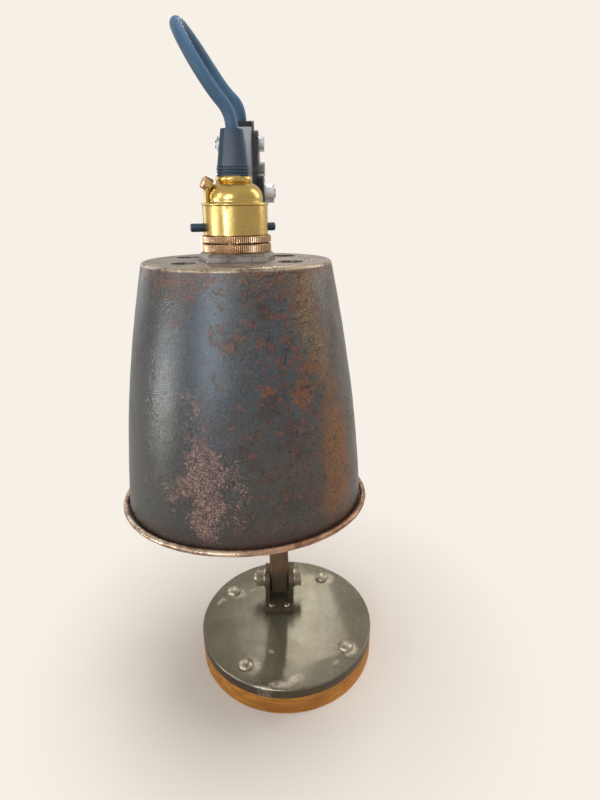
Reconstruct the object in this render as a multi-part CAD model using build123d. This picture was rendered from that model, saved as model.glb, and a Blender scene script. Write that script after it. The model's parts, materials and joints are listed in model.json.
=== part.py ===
from build123d import *
import math
import os

# Workshop table lamp: a round steel-and-wood base, a hinged square-tube arm, and a tilting
# bucket shade hung on a switched brass lampholder, with a black flex looped over the top.
# Millimetres and degrees. +Z is up, the lamp faces -Y, the origin is the middle of the underside.

# Clearances and thread stand-ins
slip_clearance = 0.2
running_clearance = 0.35
screw_clearance = 0.15
flex_clearance = 0.2

# Base discs
base_diameter = 145.0
wood_thickness = 18.0
wood_edge_round = 1.2
plate_thickness = 9.0
plate_edge_chamfer = 0.8

# Dome-head screws that hold the steel plate on the wood
plate_screw_count = 4
plate_screw_circle_radius = 58.5
plate_screw_first_angle = 57.0
plate_screw_head_diameter = 12.2
plate_screw_head_height = 4.2
plate_screw_shank_diameter = 5.0
plate_screw_wood_depth = 11.0

# Clevis on the plate
clevis_x = -6.5
clevis_pivot_y = 28.0
clevis_pivot_height = 20.5
clevis_foot_thickness = 4.0
clevis_foot_front_reach = 23.5
clevis_foot_back_reach = 23.5
clevis_ear_thickness = 4.0
clevis_ear_radius = 12.5
clevis_screw_reach = 17.5
clevis_screw_spacing = 13.0
clevis_screw_head_diameter = 5.2
clevis_screw_head_height = 2.0
clevis_screw_shank_diameter = 3.0
clevis_screw_depth = 8.0

# Pivot bolt at the foot of the arm
clevis_bolt_diameter = 8.0
clevis_bolt_flats = 13.0
clevis_bolt_head_height = 5.3
clevis_nut_height = 6.5
clevis_bolt_end = 2.0
clevis_washer_diameter = 16.0
clevis_washer_thickness = 1.6

# Square-tube arm, stepped sideways between two upright ends
arm_width = 16.0
arm_wall = 1.25
arm_corner_radius = 2.0
arm_bore_corner_radius = 0.7
arm_below_pivot = 9.0
arm_lower_straight = 75.0
arm_upper_straight = 90.0
arm_rise = 369.5
arm_bend_radius = 120.0
head_x = -22.5
pivot_sleeve_wall = 1.5
end_cap_thickness = 3.0
end_cap_spigot_length = 8.0
end_cap_spigot_clearance = 0.15

# Flex
flex_diameter = 7.0
arc_share = 0.45
flex_bore_offset = 3.0
flex_exit_height = 50.0
flex_exit_angle = 40.0
flex_exit_bend = 21.0
exit_bush_wall = 2.2
exit_bush_tip_wall = 1.2
exit_bush_length = 24.0
exit_bush_inner_reach = 2.0
exit_hole_inner_reach = 12.0

# Knuckle cheeks bolted to the top of the arm
cheek_thickness = 3.0
cheek_pivot_radius = 9.0
cheek_bolt_radius = 8.0
knuckle_bolt_upper_drop = 13.2
knuckle_bolt_lower_drop = 27.9
knuckle_bolt_forward = 3.8
knuckle_bolt_diameter = 5.0
knuckle_bolt_flats = 8.0
knuckle_bolt_head_height = 3.5
knuckle_nut_height = 4.0
knuckle_bolt_end = 1.2
head_pivot_drop = 41.0
shade_arm_clearance = 2.59
pivot_spacer_diameter = 10.0

# Black yoke that carries the head
head_tilt = 8.15
yoke_reach = 43.7
yoke_height = 36.8
yoke_thickness = 3.0
yoke_depth = 20.0
yoke_above_pivot = 10.0
yoke_corner_radius = 2.0
yoke_screw_spacing = 13.0
yoke_screw_forward = 3.5
yoke_screw_diameter = 4.0
yoke_screw_head_diameter = 7.0
yoke_screw_head_height = 2.4
yoke_nut_flats = 7.0
yoke_nut_height = 3.0
yoke_screw_end = 1.0
head_bolt_diameter = 6.0
head_bolt_flats = 10.0
head_bolt_head_height = 4.0
head_nut_height = 5.0
head_bolt_end = 1.0
head_washer_diameter = 12.0
head_washer_thickness = 1.2

# Six-sided clamping plate on the shade, with a tail under the yoke
head_plate_thickness = 4.5
head_plate_chamfer = 1.9
head_plate_width = 44.0
head_plate_front_flat = 31.8
head_plate_front_reach = 24.0
head_plate_waist = 27.0
head_plate_tail_margin = 0.5

# Bucket shade, turned a little about its axis together with the front of the plate
shade_yaw = 6.0
shade_top_radius = 54.7
shade_shoulder_radius = 2.2
shade_wall = 1.2
shade_length = 149.5
shade_mid_radius = 66.8
shade_mid_drop = 72.0
shade_rim_radius = 73.6
shade_bead_diameter = 3.5
shade_bead_gap = 0.5
shade_lip_rise = 0.35
vent_diameter = 14.2
vent_x = 29.0
vent_y = 20.5

# Brass lampholder, heights above the top of the shade
skirt_radius = 14.25
skirt_bore_radius = 11.3
skirt_drop = 12.0
ring_radius = 19.8
ring_lower_height = 4.8
ring_gap = 0.4
ring_upper_height = 4.0
ring_edge_chamfer = 0.5
inner_ring_radius = 18.0
inner_ring_height = 3.5
holder_radius = 18.3
holder_wall = 1.0
holder_floor_gap = 0.4
holder_height = 15.3
holder_bead_radius = 18.9
holder_bead_height = 1.8
dome_height = 10.4
dome_radius = 15.6
dome_crown_radius = 9.2
dome_fullness = 0.73
neck_radius = 10.2
neck_height = 3.4
neck_edge_chamfer = 0.9
slot_width = 2.8
lamp_pin_drop = 6.5
insert_gap = 0.3
insert_height = 12.5
insert_boss_drop = 11.0
contact_pin_radius = 2.0
contact_pin_spacing = 11.0
contact_pin_length = 12.0

# Earth terminal on the dome
earth_angle = 205.0
earth_radius = 15.3
earth_height = 40.8
earth_lug_width = 5.0
earth_lug_thickness = 1.6
earth_lug_gap = 0.3
earth_screw_head_diameter = 7.2
earth_screw_head_height = 3.4
earth_screw_diameter = 3.5
earth_screw_reach = 3.0
earth_screw_slot_width = 1.0
earth_screw_slot_depth = 1.3
earth_screw_rise = 30.0
earth_screw_slot_turn = 25.0

# Push-through switch bar
push_bar_diameter = 4.6
push_bar_height = 18.0
push_bar_yaw = 18.0
push_bar_left_reach = 7.4
push_bar_right_reach = 4.8
push_bar_end_chamfer = 0.5

# Cord grip
grip_collar_width = 17.6
grip_collar_corner = 3.2
grip_collar_height = 4.8
grip_ridge_count = 3
grip_ridge_depth = 0.5
grip_sleeve_height = 19.4
grip_sleeve_width = 16.8
grip_sleeve_corner = 3.0
grip_sleeve_top_width = 12.0
grip_sleeve_top_corner = 2.4

# Bayonet lamp
lamp_cap_radius = 11.0
lamp_cap_length = 26.0
lamp_pin_radius = 1.0
lamp_pin_reach = 13.4
lamp_neck_radius = 10.6
lamp_globe_radius = 30.0
lamp_globe_drop = 50.0
lamp_glass_wall = 0.9

# Put-away lead: coil, tie and plug on the floor behind the base
coil_x = -60.0
coil_y = 167.0
coil_middle_radius = 36.0
coil_turns = 3
coil_climb_turns = 0.5
coil_stops_per_turn = 4
coil_start_angle = -90.0
coil_gap = 0.6
coil_lift = 1.2
tie_thickness = 0.8
tie_width = 9.0
tie_clearance = 0.35
plug_lead = 24.0
plug_relief_length = 24.0
plug_relief_base_radius = 6.5
plug_relief_tip_radius = 4.6
plug_length = 48.0
plug_width = 47.0
plug_thickness = 23.0
plug_corner_radius = 9.0
plug_edge_round = 2.0
plug_pin_thickness = 4.0
plug_pin_width = 6.4
plug_pin_length = 17.7
plug_pin_spacing = 22.2
plug_pin_setback = 13.0
plug_earth_width = 8.0
plug_earth_length = 22.7
plug_earth_distance = 22.2

# Places worked out from the sizes above
plate_top = wood_thickness + plate_thickness
clevis_pivot_z = plate_top + clevis_pivot_height
clevis_gap = arm_width + 2 * running_clearance
clevis_width = clevis_gap + 2 * clevis_ear_thickness
arm_y = clevis_pivot_y
arm_bottom_z = clevis_pivot_z - arm_below_pivot
arm_tube_top_z = clevis_pivot_z + arm_rise
arm_top_z = arm_tube_top_z + end_cap_thickness
arm_bore = arm_width - 2 * arm_wall
flex_radius = flex_diameter / 2
flex_hole_radius = flex_radius + flex_clearance
flex_y = arm_y + flex_bore_offset
knuckle_bolt_y = arm_y - knuckle_bolt_forward
knuckle_half_width = arm_width / 2 + cheek_thickness
shade_bead_middle = shade_rim_radius + shade_bead_gap + shade_bead_diameter / 2
shade_bead_drop = shade_length - shade_bead_diameter / 2
shade_back_reach = ((shade_bead_middle - yoke_reach) * math.cos(math.radians(head_tilt))
                    - (shade_bead_drop + yoke_height) * math.sin(math.radians(head_tilt))
                    + shade_bead_diameter / 2)
head_pivot_forward = shade_back_reach + shade_arm_clearance + arm_width / 2
head_pivot_y = arm_y - head_pivot_forward
head_pivot_z = arm_top_z - head_pivot_drop
yoke_gap = 2 * (knuckle_half_width + running_clearance)
yoke_width = yoke_gap + 2 * yoke_thickness
holder_floor = head_plate_thickness + ring_lower_height + ring_gap + ring_upper_height + holder_floor_gap
holder_top = holder_floor + holder_height
dome_base = holder_top + holder_bead_height
neck_base = dome_base + dome_height
neck_top = neck_base + neck_height
grip_sleeve_base = neck_top + grip_collar_height
grip_top = grip_sleeve_base + grip_sleeve_height

# The head is modelled about the middle of the shade's top, then hung on its pivot
head_hinge = Location((head_x, head_pivot_y, head_pivot_z), (-head_tilt, 0, 0))
head_place = head_hinge * Location((0, -yoke_reach, -yoke_height))


def in_head(shape):
    return head_place * shape


def x_rod(radius, x_from, x_to, y, z):
    """A round rod along X."""
    middle = (x_from + x_to) / 2
    return Pos(middle, y, z) * Rot(0, 90, 0) * Cylinder(radius, x_to - x_from)


def x_hexagon(flats, x_from, x_to, y, z):
    """A six-sided bar along X, such as a bolt head or a nut."""
    prism = extrude(RegularPolygon(flats / 2, 6, major_radius=False), x_to - x_from)
    return Pos(x_from, y, z) * Rot(0, 90, 0) * prism


def x_plate(outline, x_from, x_to):
    """A flat plate across X from an outline drawn with its own x as Y and its own y as Z."""
    face = Plane.YZ * outline
    return Pos(x_from, 0, 0) * extrude(face, x_to - x_from, dir=(1, 0, 0))


def disc_hull(*discs):
    """The outline that wraps several discs, each given as centre y, centre z and radius."""
    edges = []
    for y, z, radius in discs:
        edges += (Pos(y, z) * Circle(radius)).edges()
    return make_hull(edges)


def z_rod(radius, z_from, z_to, x=0.0, y=0.0):
    """An upright round rod between two heights."""
    return Pos(x, y, z_from) * Cylinder(radius, z_to - z_from, align=(Align.CENTER, Align.CENTER, Align.MIN))


def ring(outer, inner, z_from, z_to):
    """An upright ring between two heights."""
    return z_rod(outer, z_from, z_to) - z_rod(inner, z_from, z_to)


def revolve_outline(*edges):
    """A solid turned about Z from a closed outline in the XZ plane."""
    return revolve(make_face(edges), Axis.Z)


def arc_radii(points):
    """For each inner point of a route, the largest arc that leaves a little of both runs straight."""
    radii = []
    for before, here, after in zip(points, points[1:], points[2:]):
        run_in = Vector(*here) - Vector(*before)
        run_out = Vector(*after) - Vector(*here)
        half_turn = math.radians(run_in.get_angle(run_out)) / 2
        radii.append(arc_share * min(run_in.length, run_out.length) / math.tan(half_turn))
    return radii


def flex_tube(points, name):
    """A flex of round section along straight runs joined by tangent arcs."""
    radii = arc_radii(points)
    path = FilletPolyline(*points, radius=radii)
    start = Plane(origin=path @ 0, z_dir=path % 0)
    tube = sweep(start * Circle(flex_radius), path=path)
    expected = math.pi * flex_radius**2 * path.length
    print(f"{name}: length {path.length:.1f}, radii {[round(r) for r in radii]}, "
          f"volume over section times length {tube.volume / expected:.4f}")
    return tube


# Base
def plate_screw_places():
    return PolarLocations(plate_screw_circle_radius, plate_screw_count, plate_screw_first_angle)


def wood_disc():
    disc = z_rod(base_diameter / 2, 0, wood_thickness)
    disc = fillet(disc.edges().group_by(Axis.Z)[0], wood_edge_round)
    pilot = z_rod(plate_screw_shank_diameter / 2 + screw_clearance,
                  wood_thickness - plate_screw_wood_depth - screw_clearance, wood_thickness)
    tap_bottom = min(wood_thickness, plate_top - clevis_screw_depth - screw_clearance)
    disc -= [place * pilot for place in plate_screw_places()]
    if tap_bottom < wood_thickness:
        tap = z_rod(clevis_screw_shank_diameter / 2 + screw_clearance, tap_bottom, wood_thickness)
        disc -= [place * tap for place in clevis_screw_places()]
    return disc


def steel_plate():
    plate = z_rod(base_diameter / 2, wood_thickness, plate_top)
    plate = chamfer(plate.edges().group_by(Axis.Z)[-1], plate_edge_chamfer)
    hole = z_rod(plate_screw_shank_diameter / 2 + screw_clearance, wood_thickness, plate_top)
    plate -= [place * hole for place in plate_screw_places()]
    tap_bottom = max(wood_thickness, plate_top - clevis_screw_depth - screw_clearance)
    tap = z_rod(clevis_screw_shank_diameter / 2 + screw_clearance, tap_bottom, plate_top)
    plate -= [place * tap for place in clevis_screw_places()]
    return plate


def plate_screws():
    head_radius = plate_screw_head_diameter / 2
    crown = (head_radius**2 + plate_screw_head_height**2) / (2 * plate_screw_head_height)
    ball = Pos(0, 0, plate_top + plate_screw_head_height - crown) * Sphere(crown)
    head = ball & z_rod(head_radius, plate_top, plate_top + plate_screw_head_height)
    shank = z_rod(plate_screw_shank_diameter / 2, wood_thickness - plate_screw_wood_depth, plate_top)
    screw = head + shank
    return Compound([place * screw for place in plate_screw_places()])


# Clevis
def clevis_screw_places():
    across = clevis_screw_spacing / 2
    return [Pos(clevis_x + sx * across, clevis_pivot_y + sy * clevis_screw_reach, 0)
            for sx in (-1, 1) for sy in (-1, 1)]


def base_clevis():
    depth = clevis_foot_front_reach + clevis_foot_back_reach
    middle_y = clevis_pivot_y + (clevis_foot_back_reach - clevis_foot_front_reach) / 2
    foot = Pos(clevis_x, middle_y, plate_top) * Box(
        clevis_width, depth, clevis_foot_thickness, align=(Align.CENTER, Align.CENTER, Align.MIN))
    foot_top = plate_top + clevis_foot_thickness
    ear_rise = clevis_pivot_z - foot_top
    ear = Pos(clevis_pivot_y, clevis_pivot_z) * Circle(clevis_ear_radius)
    ear += Pos(clevis_pivot_y, foot_top + ear_rise / 2) * Rectangle(2 * clevis_ear_radius, ear_rise)
    left = clevis_x - clevis_width / 2
    right = clevis_x + clevis_gap / 2
    clevis = foot + x_plate(ear, left, left + clevis_ear_thickness)
    clevis += x_plate(ear, right, right + clevis_ear_thickness)
    clevis -= x_rod(clevis_bolt_diameter / 2 + slip_clearance, left, right + clevis_ear_thickness,
                    clevis_pivot_y, clevis_pivot_z)
    hole = z_rod(clevis_screw_shank_diameter / 2 + screw_clearance, plate_top, foot_top)
    clevis -= [place * hole for place in clevis_screw_places()]
    return clevis


def clevis_screws():
    foot_top = plate_top + clevis_foot_thickness
    head = z_rod(clevis_screw_head_diameter / 2, foot_top, foot_top + clevis_screw_head_height)
    head = fillet(head.edges().group_by(Axis.Z)[-1], clevis_screw_head_height / 2)
    screw = head + z_rod(clevis_screw_shank_diameter / 2, plate_top - clevis_screw_depth, foot_top)
    return Compound([place * screw for place in clevis_screw_places()])


def clevis_bolt():
    inner = clevis_x + clevis_width / 2 + clevis_washer_thickness
    left_end = clevis_x - clevis_width / 2 - clevis_washer_thickness - clevis_nut_height - clevis_bolt_end
    bolt = x_rod(clevis_bolt_diameter / 2, left_end, inner, clevis_pivot_y, clevis_pivot_z)
    head = x_hexagon(clevis_bolt_flats, inner, inner + clevis_bolt_head_height, clevis_pivot_y, clevis_pivot_z)
    return bolt + head


def bolt_washers(half_width, thickness, diameter, bolt_diameter, x, y, z):
    """A washer against each outer face of a joint."""
    washers = []
    for inner in (x - half_width - thickness, x + half_width):
        washer = x_rod(diameter / 2, inner, inner + thickness, y, z)
        washer -= x_rod(bolt_diameter / 2 + screw_clearance, inner, inner + thickness, y, z)
        washers.append(washer)
    return Compound(washers)


def clevis_washers():
    return bolt_washers(clevis_width / 2, clevis_washer_thickness, clevis_washer_diameter,
                        clevis_bolt_diameter, clevis_x, clevis_pivot_y, clevis_pivot_z)


def clevis_nut():
    outer = clevis_x - clevis_width / 2 - clevis_washer_thickness
    nut = x_hexagon(clevis_bolt_flats, outer - clevis_nut_height, outer, clevis_pivot_y, clevis_pivot_z)
    return nut - x_rod(clevis_bolt_diameter / 2 + screw_clearance, outer - clevis_nut_height, outer,
                       clevis_pivot_y, clevis_pivot_z)


# Arm
def arm_path():
    lower_bend = (clevis_x, arm_y, clevis_pivot_z + arm_lower_straight)
    upper_bend = (head_x, arm_y, arm_tube_top_z - arm_upper_straight)
    return FilletPolyline((clevis_x, arm_y, arm_bottom_z), lower_bend, upper_bend,
                          (head_x, arm_y, arm_tube_top_z), radius=arm_bend_radius)


def sleeve_radius():
    return clevis_bolt_diameter / 2 + slip_clearance + pivot_sleeve_wall


def flex_exit():
    """The point on the arm's back face where the flex comes out, and its direction there."""
    angle = math.radians(flex_exit_angle)
    point = Vector(clevis_x, arm_y + arm_width / 2, clevis_pivot_z + flex_exit_height)
    return point, Vector(0, math.sin(angle), -math.cos(angle))


def exit_cone(radius_inner, radius_outer, from_reach, to_reach):
    """A round taper along the flex's way out of the arm."""
    point, direction = flex_exit()
    lower = Plane(origin=point + direction * from_reach, z_dir=direction)
    upper = Plane(origin=point + direction * to_reach, z_dir=direction)
    return loft([lower * Circle(radius_inner), upper * Circle(radius_outer)])


def arm_tube():
    path = arm_path()
    start = Plane.XY.offset(arm_bottom_z) * Pos(clevis_x, arm_y)
    outer = sweep(start * RectangleRounded(arm_width, arm_width, arm_corner_radius), path=path)
    bore = sweep(start * RectangleRounded(arm_bore, arm_bore, arm_bore_corner_radius), path=path)
    tube = outer - bore
    left = clevis_x - arm_width / 2
    tube -= x_rod(sleeve_radius() + slip_clearance, left, left + arm_width, clevis_pivot_y, clevis_pivot_z)
    for drop in (knuckle_bolt_upper_drop, knuckle_bolt_lower_drop):
        tube -= x_rod(knuckle_bolt_diameter / 2 + screw_clearance, head_x - arm_width / 2,
                      head_x + arm_width / 2, knuckle_bolt_y, arm_top_z - drop)
    bush_radius = flex_hole_radius + exit_bush_wall + slip_clearance
    tube -= exit_cone(bush_radius, bush_radius, -exit_hole_inner_reach, exit_bush_length)
    return tube


def arm_pivot_sleeve():
    left = clevis_x - arm_width / 2
    sleeve = x_rod(sleeve_radius(), left, left + arm_width, clevis_pivot_y, clevis_pivot_z)
    return sleeve - x_rod(clevis_bolt_diameter / 2 + slip_clearance, left, left + arm_width,
                          clevis_pivot_y, clevis_pivot_z)


def arm_end_cap():
    cap = Pos(head_x, arm_y, arm_tube_top_z) * extrude(
        RectangleRounded(arm_width, arm_width, arm_corner_radius), end_cap_thickness)
    spigot_width = arm_bore - 2 * end_cap_spigot_clearance
    spigot_depth = min(end_cap_spigot_length, knuckle_bolt_upper_drop - end_cap_thickness - knuckle_bolt_diameter)
    cap += Pos(head_x, arm_y, arm_tube_top_z - spigot_depth) * extrude(
        RectangleRounded(spigot_width, spigot_width, arm_bore_corner_radius), spigot_depth)
    cap -= z_rod(flex_hole_radius, arm_tube_top_z - spigot_depth, arm_top_z, head_x, flex_y)
    notch = Box(2 * flex_hole_radius, arm_width, spigot_depth + end_cap_thickness,
                align=(Align.CENTER, Align.MIN, Align.MIN))
    return cap - Pos(head_x, flex_y, arm_tube_top_z - spigot_depth) * notch


def exit_bush():
    bore = flex_hole_radius
    bush = exit_cone(bore + exit_bush_wall, bore + exit_bush_wall, -exit_bush_inner_reach, 0)
    bush += exit_cone(bore + exit_bush_wall, bore + exit_bush_tip_wall, 0, exit_bush_length)
    return bush - exit_cone(bore, bore, -exit_hole_inner_reach, exit_bush_length)


def flex_in_arm():
    """The flex inside the arm, from its end cap to the tip of the bush behind the foot."""
    point, direction = flex_exit()
    slant = flex_bore_offset - arm_width / 2
    turn = point + direction * (slant / direction.Y)
    lower_bend_z = clevis_pivot_z + arm_lower_straight
    upper_bend_z = arm_tube_top_z - arm_upper_straight
    points = [(head_x, flex_y, arm_top_z), (head_x, flex_y, upper_bend_z), (clevis_x, flex_y, lower_bend_z),
              (clevis_x, flex_y, turn.Z), tuple(point + direction * exit_bush_length)]
    bends = [arm_bend_radius, arm_bend_radius, flex_exit_bend]
    path = FilletPolyline(*points, radius=bends)
    start = Plane(origin=path @ 0, z_dir=path % 0)
    return sweep(start * Circle(flex_radius), path=path)


# Knuckle
def knuckle_cheek(side):
    inner = head_x + side * arm_width / 2
    outer = head_x + side * knuckle_half_width
    x_from = min(inner, outer)
    x_to = max(inner, outer)
    discs = [(head_pivot_y, head_pivot_z, cheek_pivot_radius)]
    for drop in (knuckle_bolt_upper_drop, knuckle_bolt_lower_drop):
        discs.append((knuckle_bolt_y, arm_top_z - drop, cheek_bolt_radius))
    cheek = x_plate(disc_hull(*discs), x_from, x_to)
    cheek -= x_rod(head_bolt_diameter / 2 + slip_clearance, x_from, x_to, head_pivot_y, head_pivot_z)
    for drop in (knuckle_bolt_upper_drop, knuckle_bolt_lower_drop):
        cheek -= x_rod(knuckle_bolt_diameter / 2 + screw_clearance, x_from, x_to,
                       knuckle_bolt_y, arm_top_z - drop)
    return cheek


def knuckle_bolts():
    left = head_x - knuckle_half_width
    right = head_x + knuckle_half_width
    bolts = []
    for drop in (knuckle_bolt_upper_drop, knuckle_bolt_lower_drop):
        z = arm_top_z - drop
        shank = x_rod(knuckle_bolt_diameter / 2, left - knuckle_nut_height - knuckle_bolt_end, right,
                      knuckle_bolt_y, z)
        bolts.append(shank + x_hexagon(knuckle_bolt_flats, right, right + knuckle_bolt_head_height,
                                       knuckle_bolt_y, z))
    return Compound(bolts)


def knuckle_nuts():
    left = head_x - knuckle_half_width
    nuts = []
    for drop in (knuckle_bolt_upper_drop, knuckle_bolt_lower_drop):
        z = arm_top_z - drop
        nut = x_hexagon(knuckle_bolt_flats, left - knuckle_nut_height, left, knuckle_bolt_y, z)
        nuts.append(nut - x_rod(knuckle_bolt_diameter / 2 + screw_clearance, left - knuckle_nut_height, left,
                                knuckle_bolt_y, z))
    return Compound(nuts)


def pivot_spacer():
    left = head_x - arm_width / 2
    spacer = x_rod(pivot_spacer_diameter / 2, left, left + arm_width, head_pivot_y, head_pivot_z)
    return spacer - x_rod(head_bolt_diameter / 2 + slip_clearance, left, left + arm_width,
                          head_pivot_y, head_pivot_z)


# Head: yoke and plate, modelled about the middle of the shade's top
def yoke_screw_places():
    y = yoke_reach - yoke_screw_forward
    return [Pos(side * yoke_screw_spacing / 2, y, 0) for side in (-1, 1)]


def yoke():
    base = head_plate_thickness
    top = yoke_height + yoke_above_pivot
    web = Pos(0, yoke_reach, base) * Box(
        yoke_width, yoke_depth, yoke_thickness, align=(Align.CENTER, Align.CENTER, Align.MIN))
    outline = Pos(yoke_reach, (base + top) / 2) * RectangleRounded(yoke_depth, top - base, yoke_corner_radius)
    outline += Pos(yoke_reach, base + yoke_thickness) * Rectangle(yoke_depth, 2 * yoke_thickness)
    bracket = web
    for side in (-1, 1):
        inner = side * yoke_gap / 2
        outer = side * yoke_width / 2
        bracket += x_plate(outline, min(inner, outer), max(inner, outer))
    bracket -= x_rod(head_bolt_diameter / 2 + slip_clearance, -yoke_width / 2, yoke_width / 2,
                     yoke_reach, yoke_height)
    hole = z_rod(yoke_screw_diameter / 2 + screw_clearance, base, base + yoke_thickness)
    bracket -= [place * hole for place in yoke_screw_places()]
    return in_head(bracket)


def yoke_screws():
    seat = head_plate_thickness + yoke_thickness
    head = z_rod(yoke_screw_head_diameter / 2, seat, seat + yoke_screw_head_height)
    head = fillet(head.edges().group_by(Axis.Z)[-1], yoke_screw_head_height / 2)
    screw = head + z_rod(yoke_screw_diameter / 2, -shade_wall - yoke_nut_height - yoke_screw_end, seat)
    return in_head(Compound([place * screw for place in yoke_screw_places()]))


def yoke_nuts():
    top = -shade_wall
    nut = Pos(0, 0, top - yoke_nut_height) * extrude(
        RegularPolygon(yoke_nut_flats / 2, 6, major_radius=False), yoke_nut_height)
    nut -= z_rod(yoke_screw_diameter / 2 + screw_clearance, top - yoke_nut_height, top)
    return in_head(Compound([place * nut for place in yoke_screw_places()]))


def head_pivot_bolt():
    left = -yoke_width / 2 - head_washer_thickness
    right = yoke_width / 2 + head_washer_thickness + head_nut_height + head_bolt_end
    bolt = x_rod(head_bolt_diameter / 2, left, right, yoke_reach, yoke_height)
    bolt += x_hexagon(head_bolt_flats, left - head_bolt_head_height, left, yoke_reach, yoke_height)
    return in_head(bolt)


def head_pivot_washers():
    return in_head(bolt_washers(yoke_width / 2, head_washer_thickness, head_washer_diameter,
                                head_bolt_diameter, 0, yoke_reach, yoke_height))


def head_pivot_nut():
    inner = yoke_width / 2 + head_washer_thickness
    nut = x_hexagon(head_bolt_flats, inner, inner + head_nut_height, yoke_reach, yoke_height)
    return in_head(nut - x_rod(head_bolt_diameter / 2 + screw_clearance, inner, inner + head_nut_height,
                               yoke_reach, yoke_height))


def head_plate():
    half = head_plate_width / 2
    front = head_plate_front_flat / 2
    tail = yoke_width / 2
    tail_end = yoke_reach + yoke_depth / 2 + head_plate_tail_margin
    corners = [(-half, 0), (-front, -head_plate_front_reach), (front, -head_plate_front_reach), (half, 0)]
    turned = [Vector(x, y, 0).rotate(Axis.Z, shade_yaw) for x, y in corners]
    outline = Polyline(*turned, (tail, head_plate_waist), (tail, tail_end), (-tail, tail_end),
                       (-tail, head_plate_waist), close=True)
    plate = extrude(make_face(outline), head_plate_thickness)
    plate = chamfer(plate.edges().group_by(Axis.Z)[-1], head_plate_chamfer)
    plate -= z_rod(skirt_radius + slip_clearance, 0, head_plate_thickness)
    hole = z_rod(yoke_screw_diameter / 2 + screw_clearance, 0, head_plate_thickness)
    plate -= [place * hole for place in yoke_screw_places()]
    return in_head(plate)


# Shade
def shade():
    wall_end = shade_lip_rise - shade_length
    lip_top = wall_end + shade_wall
    rim_inner = shade_rim_radius - shade_wall
    mid_inner = shade_mid_radius - shade_wall
    top_inner = shade_top_radius - shade_wall
    shoulder = shade_top_radius - shade_shoulder_radius
    slope = 1 / math.sqrt(2)
    shoulder_middle = (shoulder + shade_shoulder_radius * slope, 0, shade_shoulder_radius * (slope - 1))
    inner_shoulder = shade_shoulder_radius - shade_wall
    inner_middle = (shoulder + inner_shoulder * slope, 0, inner_shoulder * slope - shade_shoulder_radius)
    outside = [
        Line((0, 0, 0), (shoulder, 0, 0)),
        ThreePointArc((shoulder, 0, 0), shoulder_middle, (shade_top_radius, 0, -shade_shoulder_radius)),
        ThreePointArc((shade_top_radius, 0, -shade_shoulder_radius), (shade_mid_radius, 0, -shade_mid_drop),
                      (shade_rim_radius, 0, lip_top)),
        Line((shade_rim_radius, 0, lip_top), (shade_bead_middle, 0, lip_top)),
        Line((shade_bead_middle, 0, lip_top), (shade_bead_middle, 0, wall_end)),
        Line((shade_bead_middle, 0, wall_end), (rim_inner, 0, wall_end)),
        ThreePointArc((rim_inner, 0, wall_end), (mid_inner, 0, -shade_mid_drop),
                      (top_inner, 0, -shade_shoulder_radius)),
        ThreePointArc((top_inner, 0, -shade_shoulder_radius), inner_middle, (shoulder, 0, -shade_wall)),
        Line((shoulder, 0, -shade_wall), (0, 0, -shade_wall)),
        Line((0, 0, -shade_wall), (0, 0, 0)),
    ]
    body = revolve_outline(*outside)
    body += Pos(0, 0, -shade_bead_drop) * Torus(shade_bead_middle, shade_bead_diameter / 2)
    body -= z_rod(skirt_radius + slip_clearance, -shade_wall, 0)
    vent = z_rod(vent_diameter / 2, -shade_wall, 0)
    body -= [Rot(0, 0, shade_yaw) * Pos(sx * vent_x, sy * vent_y, 0) * vent
             for sx in (-1, 1) for sy in (-1, 1)]
    hole = z_rod(yoke_screw_diameter / 2 + screw_clearance, -shade_wall, 0)
    body -= [place * hole for place in yoke_screw_places()]
    return in_head(body)


# Lampholder
def threaded_ring(outer, z_from, height):
    body = z_rod(outer, z_from, z_from + height)
    body = chamfer(body.edges().filter_by(GeomType.CIRCLE), ring_edge_chamfer)
    return in_head(body - z_rod(skirt_radius + screw_clearance, z_from, z_from + height))


def shade_ring_lower():
    return threaded_ring(ring_radius, head_plate_thickness, ring_lower_height)


def shade_ring_upper():
    return threaded_ring(ring_radius, head_plate_thickness + ring_lower_height + ring_gap, ring_upper_height)


def shade_ring_inner():
    return threaded_ring(inner_ring_radius, -shade_wall - inner_ring_height, inner_ring_height)


def push_bar_line(shape):
    """Turns a bar along X onto the switch bar's own line in the head."""
    return Rot(0, 0, push_bar_yaw) * shape


def holder_body():
    floor_top = holder_floor + holder_wall
    body = ring(holder_radius, holder_radius - holder_wall, holder_floor, holder_top)
    body += ring(holder_radius, skirt_bore_radius, holder_floor, floor_top)
    body += ring(skirt_radius, skirt_bore_radius, -skirt_drop, holder_floor)
    slot_top = lamp_pin_radius + slip_clearance - lamp_pin_drop
    slot = Pos(0, 0, -skirt_drop) * Box(slot_width, 2 * holder_radius, slot_top + skirt_drop,
                                        align=(Align.CENTER, Align.CENTER, Align.MIN))
    body -= slot & z_rod(skirt_radius + slip_clearance, -skirt_drop, slot_top)
    bar_hole = x_rod(push_bar_diameter / 2 + running_clearance, -2 * holder_radius, 2 * holder_radius,
                     0, push_bar_height)
    return in_head(body - push_bar_line(bar_hole))


def dome_middle(base, crown, low, high):
    """A point half way up the side of a dome, further out than a straight cone."""
    return (crown + (base - crown) * dome_fullness, 0, low + (high - low) * dome_fullness)


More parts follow.
